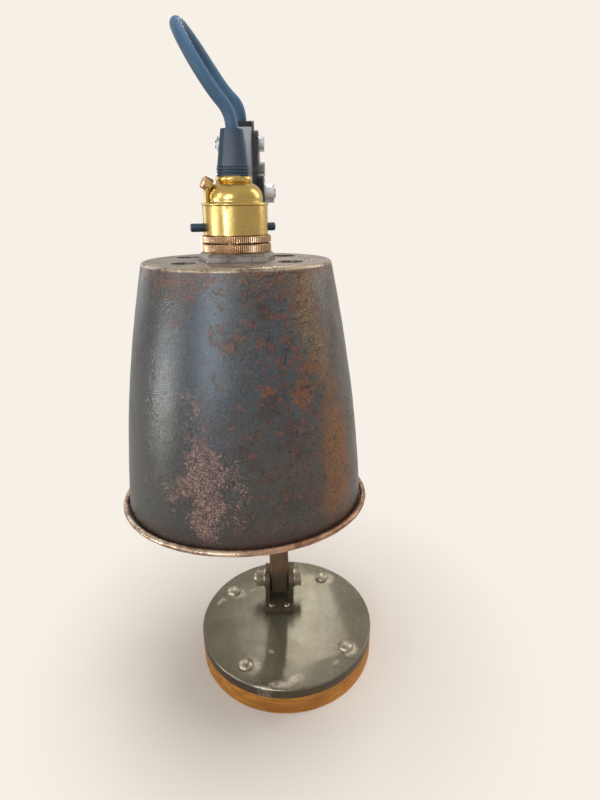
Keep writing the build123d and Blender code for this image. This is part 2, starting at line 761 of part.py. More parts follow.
def holder_dome():
    """The brass cap: a ledge, a dome and a neck, hollow, with a hole for the flex."""
    ledge_bore = holder_radius - holder_wall
    ledge_under = dome_base - holder_wall
    inner_base = dome_radius - holder_wall
    inner_crown = dome_crown_radius - holder_wall
    inner_top = neck_base - holder_wall
    cap = revolve_outline(
        Line((ledge_bore, 0, holder_top), (holder_bead_radius, 0, holder_top)),
        Line((holder_bead_radius, 0, holder_top), (holder_bead_radius, 0, dome_base)),
        Line((holder_bead_radius, 0, dome_base), (dome_radius, 0, dome_base)),
        ThreePointArc((dome_radius, 0, dome_base),
                      dome_middle(dome_radius, dome_crown_radius, dome_base, neck_base),
                      (dome_crown_radius, 0, neck_base)),
        Line((dome_crown_radius, 0, neck_base), (neck_radius, 0, neck_base + neck_edge_chamfer)),
        Line((neck_radius, 0, neck_base + neck_edge_chamfer), (neck_radius, 0, neck_top)),
        Line((neck_radius, 0, neck_top), (flex_hole_radius, 0, neck_top)),
        Line((flex_hole_radius, 0, neck_top), (flex_hole_radius, 0, neck_top - holder_wall)),
        Line((flex_hole_radius, 0, neck_top - holder_wall), (inner_crown, 0, neck_top - holder_wall)),
        Line((inner_crown, 0, neck_top - holder_wall), (inner_crown, 0, inner_top)),
        ThreePointArc((inner_crown, 0, inner_top),
                      dome_middle(inner_base, inner_crown, ledge_under, inner_top),
                      (inner_base, 0, ledge_under)),
        Line((inner_base, 0, ledge_under), (ledge_bore, 0, ledge_under)),
        Line((ledge_bore, 0, ledge_under), (ledge_bore, 0, holder_top)),
    )
    return in_head(cap)


def holder_insert():
    seat = holder_floor + holder_wall
    block = z_rod(holder_radius - holder_wall - insert_gap, seat, seat + insert_height)
    block += z_rod(skirt_bore_radius - insert_gap, seat - insert_boss_drop, seat)
    channel = x_rod(push_bar_diameter / 2 + running_clearance, -holder_radius, holder_radius, 0, push_bar_height)
    block -= push_bar_line(channel)
    pin_top = contact_pin_length + slip_clearance
    for side in (-1, 1):
        block -= z_rod(contact_pin_radius + slip_clearance, 0, pin_top, side * contact_pin_spacing / 2)
    return in_head(block)


def contact_pins():
    pins = []
    for side in (-1, 1):
        pins.append(z_rod(contact_pin_radius, 0, contact_pin_length, side * contact_pin_spacing / 2))
    return in_head(Compound(pins))


def push_bar():
    left = -holder_radius - push_bar_left_reach
    right = holder_radius + push_bar_right_reach
    bar = x_rod(push_bar_diameter / 2, left, right, 0, push_bar_height)
    bar = chamfer(bar.edges().filter_by(GeomType.CIRCLE), push_bar_end_chamfer)
    return in_head(push_bar_line(bar))


# Earth terminal: a lug that stands on the dome, and a slotted screw through it
def earth_frame():
    """Origin where the screw passes the lug, z along the screw, out and upwards."""
    angle = math.radians(earth_angle)
    rise = math.radians(earth_screw_rise)
    outward = Vector(math.cos(angle), math.sin(angle), 0)
    origin = outward * earth_radius + Vector(0, 0, earth_height)
    along = outward * math.cos(rise) + Vector(0, 0, math.sin(rise))
    across = Vector(-math.sin(angle), math.cos(angle), 0)
    return Plane(origin=origin, x_dir=across, z_dir=along)


def dome_solid(grown):
    """The outside of the dome and neck as one filled solid, for seating pieces on it."""
    outer = dome_radius + grown
    crown = dome_crown_radius + grown
    neck = neck_radius + grown
    return revolve_outline(
        Line((0, 0, holder_floor), (outer, 0, holder_floor)),
        Line((outer, 0, holder_floor), (outer, 0, dome_base)),
        ThreePointArc((outer, 0, dome_base), dome_middle(outer, crown, dome_base, neck_base),
                      (crown, 0, neck_base)),
        Line((crown, 0, neck_base), (neck, 0, neck_base + neck_edge_chamfer)),
        Line((neck, 0, neck_base + neck_edge_chamfer), (neck, 0, neck_top)),
        Line((neck, 0, neck_top), (0, 0, neck_top)),
        Line((0, 0, neck_top), (0, 0, holder_floor)),
    )


def earth_lug():
    """A strip that stands on the ledge beside the dome, with a tilted eye at its top."""
    frame = earth_frame()
    strip_radius = dome_radius + earth_lug_gap + earth_lug_thickness / 2
    strip_height = earth_height - dome_base
    strip = Box(earth_lug_thickness, earth_lug_width, strip_height,
                align=(Align.CENTER, Align.CENTER, Align.MIN))
    strip = Rot(0, 0, earth_angle) * Pos(strip_radius, 0, dome_base) * strip
    eye = frame * Pos(0, 0, -earth_lug_thickness) * Cylinder(
        earth_screw_head_diameter / 2, earth_lug_thickness, align=(Align.CENTER, Align.CENTER, Align.MIN))
    above = frame * Box(earth_screw_head_diameter, 2 * strip_height, strip_height,
                        align=(Align.CENTER, Align.CENTER, Align.MIN))
    hole = frame * Cylinder(earth_screw_diameter / 2 + screw_clearance, 2 * earth_screw_reach)
    return in_head((strip - above) + (eye - dome_solid(0)) - hole)


def earth_screw():
    frame = earth_frame()
    head = Cylinder(earth_screw_head_diameter / 2, earth_screw_head_height,
                    align=(Align.CENTER, Align.CENTER, Align.MIN))
    head = chamfer(head.edges().group_by(Axis.Z)[-1], earth_screw_slot_depth / 2)
    slot = Pos(0, 0, earth_screw_head_height) * Box(
        earth_screw_slot_width, 2 * earth_screw_head_diameter, 2 * earth_screw_slot_depth)
    shank = Cylinder(earth_screw_diameter / 2, earth_screw_reach,
                     align=(Align.CENTER, Align.CENTER, Align.MAX))
    screw = frame * (Rot(0, 0, earth_screw_slot_turn) * (head - slot) + shank)
    return in_head(screw - dome_solid(running_clearance))


# Cord grip
def cut_square(width, corner, height):
    """A square outline with its corners cut off, at a height."""
    square = Rectangle(width, width)
    return Plane.XY.offset(height) * chamfer(square.vertices(), corner)


def cord_grip_collar():
    pitch = grip_collar_height / grip_ridge_count
    core = cut_square(grip_collar_width - 2 * grip_ridge_depth, grip_collar_corner, neck_top)
    collar = extrude(core, grip_collar_height)
    for k in range(grip_ridge_count):
        ridge = cut_square(grip_collar_width, grip_collar_corner, neck_top + k * pitch)
        collar += extrude(ridge, pitch / 2)
    return in_head(collar - z_rod(flex_hole_radius, neck_top, grip_sleeve_base))


def cord_grip_sleeve():
    bottom = cut_square(grip_sleeve_width, grip_sleeve_corner, grip_sleeve_base)
    top = cut_square(grip_sleeve_top_width, grip_sleeve_top_corner, grip_top)
    sleeve = loft([bottom, top], ruled=True)
    return in_head(sleeve - z_rod(flex_hole_radius, grip_sleeve_base, grip_top))


def flex_in_grip():
    return in_head(z_rod(flex_radius, neck_base, grip_top))


# Lamp
def lamp_cap():
    cap = z_rod(lamp_cap_radius, -lamp_cap_length, 0)
    pins = Pos(0, 0, -lamp_pin_drop) * Rot(90, 0, 0) * Cylinder(lamp_pin_radius, 2 * lamp_pin_reach)
    return in_head(cap + pins)


def globe_outline(inset):
    """The lamp's glass from its neck to its tip, turned about the head's axis."""
    top = -lamp_cap_length
    centre = top - lamp_globe_drop
    radius = lamp_globe_radius - inset
    neck = lamp_neck_radius - inset
    tip = centre - radius
    slope = 1 / math.sqrt(2)
    shoulder = (radius * slope, 0, centre + radius * slope)
    waist = (neck, 0, shoulder[2] + shoulder[0] - neck)
    return revolve_outline(
        Line((0, 0, top), (neck, 0, top)),
        Line((neck, 0, top), waist),
        Line(waist, shoulder),
        ThreePointArc(shoulder, (radius, 0, centre), (0, 0, tip)),
        Line((0, 0, tip), (0, 0, top)),
    )


def lamp_glass():
    return in_head(globe_outline(0) - globe_outline(lamp_glass_wall))


# Flex loop over the top, each point given from the flex's place on the arm's end cap
loop_exit_run = 8.0
loop_entry_run = 8.0
loop_offsets = [
    (-9.5, -59.5, 16.5),
    (-18.5, -59.0, 30.9),
    (-25.6, -51.4, 42.7),
    (-29.9, -37.9, 49.6),
    (-29.9, -22.2, 49.6),
    (-25.6, -8.4, 42.7),
    (-18.5, -0.6, 30.9),
    (-9.0, 0.2, 16.5),
]


def flex_loop():
    grip_end = (head_place * Pos(0, 0, grip_top)).position
    grip_way = (head_place * Pos(0, 0, grip_top + loop_exit_run)).position
    cap = Vector(head_x, flex_y, arm_top_z)
    cap_way = cap + Vector(0, 0, loop_entry_run)
    points = [grip_end, grip_way] + [cap + Vector(*offset) for offset in loop_offsets] + [cap_way, cap]
    return flex_tube([tuple(point) for point in points], "flex_loop")


# Lead from the arm to the coil
coil_pitch = flex_diameter + coil_gap
coil_outer_radius = coil_middle_radius + coil_turns * coil_pitch / 2
coil_z = flex_radius + coil_lift
coil_layer = flex_diameter + coil_gap
tail_exit_run = 15.5
tail_entry_run = 15.5
tail_points = [
    (-1.5, 71.5, 56.5),
    (3.5, 86.5, 45.5),
    (1.0, 99.5, 31.5),
    (-8.0, 110.0, 18.0),
    (-21.5, 116.5, 9.5),
]


def flex_tail():
    point, direction = flex_exit()
    bush_end = point + direction * exit_bush_length
    bush_way = bush_end + direction * tail_exit_run
    coil_end = Vector(coil_x + flex_diameter, coil_y - coil_outer_radius, coil_z)
    coil_way = coil_end + Vector(tail_entry_run, 0, 0)
    points = [tuple(bush_end), tuple(bush_way)] + tail_points + [tuple(coil_way), tuple(coil_end)]
    return flex_tube(points, "flex_tail")


def coil_point(turn):
    """A place on the coil's middle line after so many turns, and its direction there."""
    reversal = coil_turns + coil_climb_turns / 2
    climb = min(max((turn - coil_turns) / coil_climb_turns, 0), 1)
    rise = coil_layer * climb**2 * (3 - 2 * climb)
    steep = coil_layer * 6 * climb * (1 - climb) / coil_climb_turns
    shrink = coil_pitch * (reversal - abs(turn - reversal))
    radius = coil_outer_radius - shrink
    growth = 0.0
    if turn != reversal:
        growth = math.copysign(coil_pitch, turn - reversal)
    angle = math.radians(coil_start_angle) - 2 * math.pi * turn
    outward = Vector(math.cos(angle), math.sin(angle), 0)
    onward = Vector(math.sin(angle), -math.cos(angle), 0)
    place = Vector(coil_x, coil_y, coil_z + rise) + outward * radius
    heading = outward * growth + onward * (2 * math.pi * radius) + Vector(0, 0, steep)
    return place, heading.normalized()


def biarc(start, start_way, end, end_way):
    """Two arcs that leave start along start_way, meet smoothly and reach end along end_way."""
    chord = end - start
    ways = start_way + end_way
    a = 4 - ways.dot(ways)
    b = 2 * chord.dot(ways)
    c = -chord.dot(chord)
    reach = (-b + math.sqrt(b * b - 4 * a * c)) / (2 * a)
    middle = (start + start_way * reach + end - end_way * reach) / 2
    first = TangentArc(start, middle, tangent=start_way)
    return [first, TangentArc(middle, end, tangent=first % 1)]


def coil_edges():
    """The coil's middle line: a straight end, quarter-turn biarcs in and out again, a straight end."""
    last_stop = round(coil_stops_per_turn * (2 * coil_turns + coil_climb_turns))
    stops = [coil_point(k / coil_stops_per_turn) for k in range(last_stop + 1)]
    stops[0] = (stops[0][0], Vector(-1, 0, 0))
    stops[-1] = (stops[-1][0], Vector(1, 0, 0))
    first = stops[0][0]
    last = stops[-1][0]
    edges = [Line(first - stops[0][1] * flex_diameter, first)]
    for (here, way), (there, next_way) in zip(stops, stops[1:]):
        edges += biarc(here, way, there, next_way)
    edges.append(Line(last, last + stops[-1][1] * plug_lead))
    return edges


def coil_self_gap(path):
    """The least clear distance between places on the coil that lie over half a turn apart."""
    steps = int(path.length / (flex_diameter / 2))
    places = [path @ (k / steps) for k in range(steps + 1)]
    apart = int(math.pi * coil_middle_radius / (path.length / steps))
    nearest = min((places[i] - places[j]).length
                  for i in range(len(places)) for j in range(i + apart, len(places)))
    return nearest - flex_diameter


def flex_coil():
    path = Wire(coil_edges())
    start = Plane(origin=path @ 0, z_dir=path % 0)
    coil = sweep(start * Circle(flex_radius), path=path)
    expected = math.pi * flex_radius**2 * path.length
    print(f"flex_coil: length {path.length:.1f}, least gap to itself {coil_self_gap(path):.2f}, "
          f"volume over section times length {coil.volume / expected:.4f}")
    return coil


def coil_tie():
    """A flat band round all the turns, on the coil's right."""
    inner = (coil_outer_radius - (coil_turns + coil_climb_turns / 2) * coil_pitch
             - flex_radius - 2 * tie_clearance)
    outer = coil_outer_radius + flex_radius + tie_clearance
    low = coil_lift - tie_clearance
    high = coil_z + coil_layer + flex_radius + tie_clearance
    middle = Pos(coil_x + (inner + outer) / 2, coil_y, (low + high) / 2)
    hole = Box(outer - inner, tie_width, high - low)
    band = Box(outer - inner + 2 * tie_thickness, tie_width, high - low + 2 * tie_thickness)
    return middle * (band - hole)


# Plug, lying on its back with its pins up
plug_entry_x = coil_x + plug_lead
plug_y = coil_y + coil_outer_radius
plug_entry_z = coil_z + coil_layer
plug_face_x = plug_entry_x + plug_relief_length


def plug_relief():
    tip = Plane(origin=(plug_entry_x, plug_y, plug_entry_z), z_dir=(1, 0, 0))
    base = tip.offset(plug_relief_length)
    return loft([tip * Circle(plug_relief_tip_radius), base * Circle(plug_relief_base_radius)])


def plug_body():
    middle_x = plug_face_x + plug_length / 2
    outline = RectangleRounded(plug_length, plug_width, plug_corner_radius)
    body = Pos(middle_x, plug_y, 0) * extrude(outline, plug_thickness)
    return fillet(body.edges().group_by(Axis.Z)[-1], plug_edge_round)


def plug_pins():
    pins = []
    pin_x = plug_face_x + plug_pin_setback
    upright = (Align.CENTER, Align.CENTER, Align.MIN)
    for side in (-1, 1):
        live = Box(plug_pin_thickness, plug_pin_width, plug_pin_length, align=upright)
        pins.append(Pos(pin_x, plug_y + side * plug_pin_spacing / 2, plug_thickness) * live)
    earth = Box(plug_earth_width, plug_pin_thickness, plug_earth_length, align=upright)
    pins.append(Pos(pin_x + plug_earth_distance, plug_y, plug_thickness) * earth)
    return Compound(pins)


nodes = {
    "wood_disc": wood_disc,
    "steel_plate": steel_plate,
    "plate_screws": plate_screws,
    "base_clevis": base_clevis,
    "clevis_screws": clevis_screws,
    "clevis_bolt": clevis_bolt,
    "clevis_washers": clevis_washers,
    "clevis_nut": clevis_nut,
    "arm_tube": arm_tube,
    "arm_pivot_sleeve": arm_pivot_sleeve,
    "arm_end_cap": arm_end_cap,
    "exit_bush": exit_bush,
    "flex_in_arm": flex_in_arm,
    "knuckle_cheek_left": lambda: knuckle_cheek(-1),
    "knuckle_cheek_right": lambda: knuckle_cheek(1),
    "knuckle_bolts": knuckle_bolts,
    "knuckle_nuts": knuckle_nuts,
    "pivot_spacer": pivot_spacer,
    "yoke": yoke,
    "yoke_screws": yoke_screws,
    "yoke_nuts": yoke_nuts,
    "head_pivot_bolt": head_pivot_bolt,
    "head_pivot_washers": head_pivot_washers,
    "head_pivot_nut": head_pivot_nut,
    "head_plate": head_plate,
    "shade": shade,
    "shade_ring_lower": shade_ring_lower,
    "shade_ring_upper": shade_ring_upper,
    "shade_ring_inner": shade_ring_inner,
    "holder_body": holder_body,
    "holder_dome": holder_dome,
    "holder_insert": holder_insert,
    "contact_pins": contact_pins,
    "push_bar": push_bar,
    "earth_lug": earth_lug,
    "earth_screw": earth_screw,
    "cord_grip_collar": cord_grip_collar,
    "cord_grip_sleeve": cord_grip_sleeve,
    "flex_in_grip": flex_in_grip,
    "lamp_cap": lamp_cap,
    "lamp_glass": lamp_glass,
    "flex_loop": flex_loop,
    "flex_tail": flex_tail,
    "flex_coil": flex_coil,
    "coil_tie": coil_tie,
    "plug_relief": plug_relief,
    "plug_body": plug_body,
    "plug_pins": plug_pins,
}

os.makedirs("parts", exist_ok=True)
for name, make in nodes.items():
    export_step(make(), f"parts/{name}.step")

print("head pivot", round(head_pivot_y, 2), round(head_pivot_z, 2))
print("shade top middle", [round(v, 2) for v in head_place.position])
print("grip top", [round(v, 2) for v in (head_place * Pos(0, 0, grip_top)).position])
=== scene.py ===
# %% [markdown]
# # A workshop table lamp
# The lamp has a round base of steel on wood, a hinged square arm, and a worn bucket shade under a
# brass lampholder. The measured part is loaded first: it fixes where every piece is and what moves.
# Each later step swaps one group of plain solids for a piece with rounded edges, dents or cord, or
# gives it a finish. Working inside a measured frame keeps looks and motion in step.

import json
import math

import bmesh
import bpy
from mathutils import Matrix, Vector, noise


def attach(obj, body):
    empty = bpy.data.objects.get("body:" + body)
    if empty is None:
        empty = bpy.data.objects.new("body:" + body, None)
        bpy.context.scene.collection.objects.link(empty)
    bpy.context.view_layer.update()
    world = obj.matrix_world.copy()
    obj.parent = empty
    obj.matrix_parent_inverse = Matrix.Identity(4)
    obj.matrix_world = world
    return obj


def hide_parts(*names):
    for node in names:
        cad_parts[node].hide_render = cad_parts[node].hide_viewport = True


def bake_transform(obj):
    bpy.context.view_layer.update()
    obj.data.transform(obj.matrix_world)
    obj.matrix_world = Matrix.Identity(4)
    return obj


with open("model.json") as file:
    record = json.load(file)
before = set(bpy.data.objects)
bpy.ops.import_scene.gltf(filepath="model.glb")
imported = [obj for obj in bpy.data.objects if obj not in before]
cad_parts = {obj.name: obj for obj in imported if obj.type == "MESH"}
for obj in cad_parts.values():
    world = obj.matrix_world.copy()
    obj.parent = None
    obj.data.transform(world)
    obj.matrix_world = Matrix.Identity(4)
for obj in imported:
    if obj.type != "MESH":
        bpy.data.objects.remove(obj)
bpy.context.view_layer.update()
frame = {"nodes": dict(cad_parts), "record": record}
nodes = frame["nodes"]
body_of = {node: body for body, group in frame["record"]["behaviour"]["bodies"].items() for node in group}
slot_of = {part["node"]: part["material_slot"] for part in frame["record"]["subparts"]}
scene = bpy.context.scene

# %% [markdown]
# ## The camera
# A photograph fixes a camera by what lines up in it: here the shade's axis, the rim and the base's
# ellipse. A free camera could be dragged by eye, but one worked out from those points lets every
# later piece be compared with the photograph. It stands close, looks down a little, and leans a hair.

# %% Camera
MM = 0.001
CAMERA_PLACE = Vector((0.0132, -0.3864, 0.4285))
CAMERA_PITCH = math.radians(26.15)
CAMERA_ROLL = math.radians(-0.5)
CAMERA_LENS = 27.0

forward = Vector((0, math.cos(CAMERA_PITCH), -math.sin(CAMERA_PITCH)))
level_up = Vector((0, math.sin(CAMERA_PITCH), math.cos(CAMERA_PITCH)))
level_right = Vector((1, 0, 0))
right = level_right * math.cos(CAMERA_ROLL) + level_up * math.sin(CAMERA_ROLL)
up = level_up * math.cos(CAMERA_ROLL) - level_right * math.sin(CAMERA_ROLL)
turn = Matrix((right, up, -forward)).transposed()

camera = bpy.data.objects.new("camera", bpy.data.cameras.new("camera"))
camera.data.lens = CAMERA_LENS
camera.data.clip_start = 0.01
camera.matrix_world = Matrix.Translation(CAMERA_PLACE) @ turn.to_4x4()
scene.collection.objects.link(camera)
scene.camera = camera
scene.view_settings.view_transform = "Standard"
print("camera at", tuple(CAMERA_PLACE))

# %% [markdown]
# ## A small shader kit
# Real finishes are layers: a colour, then wear, dirt and scratches that follow some rule. In Blender
# those rules are nodes. Placing nodes by hand hides the rule in a picture, so a socket is wrapped in
# a class whose operators add Math nodes. Then "1 - mask" in the script is one node in the material,
# and the same class serves Geometry Nodes later.

# %% Sockets that can be added and multiplied
class Socket:
    """An output of a node. Each operator adds a Math node and gives that node's output."""

    def __init__(self, tree, output):
        self.tree = tree
        self.output = output

    def calculate(self, operation, *values):
        return self.tree.node("ShaderNodeMath", {"operation": operation}, dict(enumerate(values)))

    def most(self, other):
        return self.calculate("MAXIMUM", self, other)


def operator(operation, swapped):
    """A method that adds a Math node for an operator, with the socket on its left or on its right."""
    def method(self, other):
        return self.calculate(operation, *((other, self) if swapped else (self, other)))
    return method


for sign, operation in {"add": "ADD", "sub": "SUBTRACT", "mul": "MULTIPLY", "truediv": "DIVIDE"}.items():
    setattr(Socket, f"__{sign}__", operator(operation, False))
    setattr(Socket, f"__r{sign}__", operator(operation, True))


class Tree:
    """A node tree. The node method adds any node: its settings first, then its sockets."""

    def __init__(self, tree):
        self.tree = tree

    def feed(self, socket, value):
        if isinstance(value, Socket):
            self.tree.links.new(value.output, socket)
        else:
            socket.default_value = value

    def node(self, kind, settings=None, sockets=None, output=0):
        made = self.tree.nodes.new(kind)
        for name, value in (settings or {}).items():
            setattr(made, name, value)
        for name, value in (sockets or {}).items():
            self.feed(made.inputs[name], value)
        return Socket(self, made.outputs[output])


print("socket kit ready")


# %% The head's own frame
HEAD_PIVOT = Vector((-22.5, 10.0, 379.0)) * MM
HEAD_TILT = math.radians(8.15)
YOKE_REACH = 43.7 * MM
YOKE_HEIGHT = 36.8 * MM

HEAD = (Matrix.Translation(HEAD_PIVOT) @ Matrix.Rotation(-HEAD_TILT, 4, "X")
        @ Matrix.Translation((0, -YOKE_REACH, -YOKE_HEIGHT)))
print("middle of the shade's top", tuple(HEAD.translation))


# %% Materials as classes
MM_IN_METRE = 1000


def tint(red, green, blue):
    """A screen colour, 0 to 255, as the linear colour that the shader needs."""
    def linear(channel):
        share = channel / 255
        return share / 12.92 if share <= 0.04045 else ((share + 0.055) / 1.055) ** 2.4
    return (linear(red), linear(green), linear(blue), 1.0)


class Finish(Tree):
    """A material with one Principled shader. Places and sizes inside it are in millimetres."""

    def __init__(self, name, **constants):
        self.material = bpy.data.materials.new(name)
        self.material.use_nodes = True
        super().__init__(self.material.node_tree)
        self.shader = self.tree.nodes["Principled BSDF"]
        for socket, value in constants.items():
            self.shader.inputs[socket.replace("_", " ")].default_value = value

    def here(self):
        """The place on the object, in the part's frame."""
        place = self.node("ShaderNodeTexCoord", output="Object")
        return self.node("ShaderNodeMapping", None, {"Vector": place, "Scale": [MM_IN_METRE] * 3})

    def on_head(self):
        """The place in the head's own frame: its Z is the shade's axis and 0 is the shade's top."""
        place = self.node("ShaderNodeTexCoord", output="Object")
        back = HEAD.inverted()
        return self.node("ShaderNodeMapping", None, {
            "Vector": place, "Location": back.translation * MM_IN_METRE, "Rotation": back.to_euler(),
            "Scale": [MM_IN_METRE] * 3})

    def parts(self, vector):
        split = self.node("ShaderNodeSeparateXYZ", None, {"Vector": vector}).output.node
        return [Socket(self, output) for output in split.outputs]

    def stretch(self, place, x, y, z):
        return self.node("ShaderNodeVectorMath", {"operation": "MULTIPLY"}, {0: place, 1: (x, y, z)})

    def noise(self, place, scale, detail=2.0, roughness=0.5, distortion=0.0):
        return self.node("ShaderNodeTexNoise", None, {
            "Vector": place, "Scale": scale, "Detail": detail, "Roughness": roughness,
            "Distortion": distortion})

    def cells(self, place, scale):
        return self.node("ShaderNodeTexVoronoi", None, {"Vector": place, "Scale": scale})

    def spots(self, place, spacing, size, kept):
        """Round spots at random places, up to size across; kept is the share of places that have one."""
        distance = self.cells(place, 1.0 / spacing)
        luck = self.parts(Socket(self, distance.output.node.outputs["Color"]))[0]
        reach = (luck - (1.0 - kept)) * (0.5 * size / spacing / kept)
        return self.ease(reach - distance, 0.0, 0.1 * size / spacing)

    def ease(self, value, low, high):
        """0 below low, 1 above high, smooth between; low may be the larger."""
        return self.node("ShaderNodeMapRange", {"interpolation_type": "SMOOTHSTEP"},
                         {"Value": value, "From Min": low, "From Max": high})

    def blend(self, share, first, second):
        """The first colour where share is 0 and the second where it is 1."""
        return self.node("ShaderNodeMix", {"data_type": "RGBA"}, {0: share, 6: first, 7: second}, 2)

    def lay(self, share, colour):
        """Covers the colour so far with another one, by its share."""
        self.colour = self.blend(share, self.colour, colour)

    def relief(self, height, depth):
        """Bumps of that depth in millimetres."""
        normal = self.node("ShaderNodeBump", None, {"Height": height, "Distance": depth * MM})
        self.feed(self.shader.inputs["Normal"], normal)

    def show(self, **sockets):
        for socket, value in sockets.items():
            self.feed(self.shader.inputs[socket.replace("_", " ")], value)
        return self.material


print("material kit ready")

# %% [markdown]
# ## Floor and light
# The photograph is soft daylight on a cream sheet, with a bright window to the left and another to
# the right and behind. A sweep that curves up behind the lamp hides the horizon. Far away its cream is
# a glow that camera and mirror rays see, so it stays even; near the lamp it is mostly matt paper,
# which catches the soft shadow of the ceiling light. Narrow strips, which only mirror rays see, give
# the streaks on paint and plate, and the sheet is dimmer in a mirror, as a real room is.
# The room is brighter for mirror rays than for matt surfaces, so metal isn't black where it faces us,
# and the camera sees it in the sheet's cream from every side.

# %% A cream sweep
CREAM = tint(247, 240, 231)
PAPER = tint(228, 221, 213)
GLOW_NEAR = 0.16
GLOW_FAR = 1.0
GLOW_FADE = (0.07, 0.245)
GLOW_MIRRORED = 0.65
SWEEP_HALF_WIDTH = 5.0
SWEEP_FRONT = -4.0
SWEEP_BEND_AT = 1.6
SWEEP_BEND_RADIUS = 1.0
SWEEP_TOP = 4.0
SWEEP_STEPS = 16

sweep_line = [(SWEEP_FRONT, 0.0)]
for step in range(SWEEP_STEPS + 1):
    angle = math.radians(90 * step / SWEEP_STEPS)
    sweep_line.append((SWEEP_BEND_AT + SWEEP_BEND_RADIUS * math.sin(angle),
                       SWEEP_BEND_RADIUS * (1 - math.cos(angle))))
sweep_line.append((SWEEP_BEND_AT + SWEEP_BEND_RADIUS, SWEEP_TOP))
sweep_mesh = bpy.data.meshes.new("sweep")
sweep_mesh.from_pydata(
    [(x, y, z) for y, z in sweep_line for x in (-SWEEP_HALF_WIDTH, SWEEP_HALF_WIDTH)], [],
    [(2 * k, 2 * k + 1, 2 * k + 3, 2 * k + 2) for k in range(len(sweep_line) - 1)])
sweep_mesh.shade_smooth()
sweep = bpy.data.objects.new("sweep", sweep_mesh)
scene.collection.objects.link(sweep)

paper = Finish("paper", Base_Color=PAPER, Roughness=0.9, Specular_IOR_Level=0.1)
rays = paper.node("ShaderNodeLightPath").output.node.outputs
seen = [Socket(paper, rays[kind]) for kind in ("Is Camera Ray", "Is Glossy Ray", "Is Transmission Ray")]
glow = paper.node("ShaderNodeEmission", None, {
    "Color": CREAM, "Strength": 1.0 - seen[1] * (1.0 - GLOW_MIRRORED)})
spot = paper.node("ShaderNodeTexCoord", output="Object")
away = paper.node("ShaderNodeVectorMath", {"operation": "LENGTH"}, {0: spot}, "Value")
far = paper.ease(away, *GLOW_FADE)
share = paper.ease(seen[0] + seen[1] + seen[2], 0.0, 1.0) * (GLOW_NEAR + far * (GLOW_FAR - GLOW_NEAR))
surface = paper.node("ShaderNodeMixShader", None, {
    0: share, 1: Socket(paper, paper.shader.outputs[0]), 2: glow})
paper.feed(paper.tree.nodes["Material Output"].inputs["Surface"], surface)
sweep_mesh.materials.append(paper.material)
print("sweep of", len(sweep_mesh.polygons), "faces")

# %% Soft lights and a dim room
LIGHT_AIM = Vector((-0.02, -0.03, 0.27))


def softbox(name, place, width, height, power, colour, matt=True, mirrored=True):
    """A rectangular area light at a place in metres, turned to the lamp; matt or mirror rays may miss it."""
    light = bpy.data.lights.new(name, "AREA")
    light.shape = "RECTANGLE"
    light.size = width
    light.size_y = height
    light.energy = power
    light.color = colour
    box = bpy.data.objects.new(name, light)
    box.location = place
    box.rotation_euler = (LIGHT_AIM - Vector(place)).to_track_quat("-Z", "Y").to_euler()
    box.visible_diffuse = matt
    box.visible_glossy = mirrored
    scene.collection.objects.link(box)


softbox("window_left", (-1.15, -0.62, 0.80), 0.30, 0.7, 2.3, (0.94, 0.97, 1.0))
softbox("window_front", (-0.40, -1.25, 0.85), 0.5, 0.5, 3.6, (0.90, 0.95, 1.0))
softbox("window_right", (1.05, 0.45, 0.75), 0.35, 0.9, 3.0, (1.0, 0.97, 0.92))
softbox("window_back_left", (-0.95, 0.75, 0.60), 0.30, 0.9, 1.8, (0.72, 0.86, 1.0))
softbox("ceiling", (0.22, -0.12, 1.50), 0.8, 0.7, 10.5, (1.0, 0.985, 0.96), mirrored=False)
softbox("strip_left", (-1.32, -0.38, 0.25), 0.08, 0.22, 3.4, (0.97, 1.0, 0.96), matt=False)
softbox("strip_front", (-0.66, -1.20, 0.60), 0.10, 0.18, 2.8, (0.62, 0.80, 1.0), matt=False)
softbox("strip_back", (0.015, 0.82, 1.02), 0.03, 0.75, 1.4, (1.0, 0.99, 0.95), matt=False)

ROOM_FOR_MATT = 0.65
ROOM_HEIGHTS = (-0.3, 0.9)
ROOM_STRENGTHS = (0.42, 0.62)
world = bpy.data.worlds.new("room")
world.use_nodes = True
room = Tree(world.node_tree)
facing = room.node("ShaderNodeTexCoord", output="Generated")
split = room.node("ShaderNodeSeparateXYZ", None, {"Vector": facing}).output.node.outputs
lift = room.node("ShaderNodeMapRange", None, {
    "Value": Socket(room, split["Z"]), "From Min": ROOM_HEIGHTS[0], "From Max": ROOM_HEIGHTS[1],
    "To Min": ROOM_STRENGTHS[0], "To Max": ROOM_STRENGTHS[1]})
room_rays = room.node("ShaderNodeLightPath").output.node.outputs
mirrored = Socket(room, room_rays["Is Glossy Ray"])
looked_at = Socket(room, room_rays["Is Camera Ray"])
lit = lift * (ROOM_FOR_MATT + mirrored * (1 - ROOM_FOR_MATT))
background = room.tree.nodes["Background"]
background.inputs["Color"].default_value = CREAM
room.feed(background.inputs["Strength"], lit + looked_at * (1.0 - lit))
scene.world = world

# %% [markdown]
# ## Paint over rust: the shade
# The shade is a used steel bucket: slate paint, rubbed thin, with rust coming through. On the real
# thing the marks are accidents, so most of the pattern is noise. But the largest ones give the lamp
# its face: a speckled brown patch low on the left, an orange run and a golden patch on the right,
# which is brown rust with a warm reflection painted into it. Those are placed by angle and height on
# the shade, and their edges are broken up by noise. The paint is also painted darker towards the
# bottom as shade, and lighter on the top and shoulder for their sheen.

# %% Places of the shade's marks
SHADE_MEAN_RADIUS = 66.0
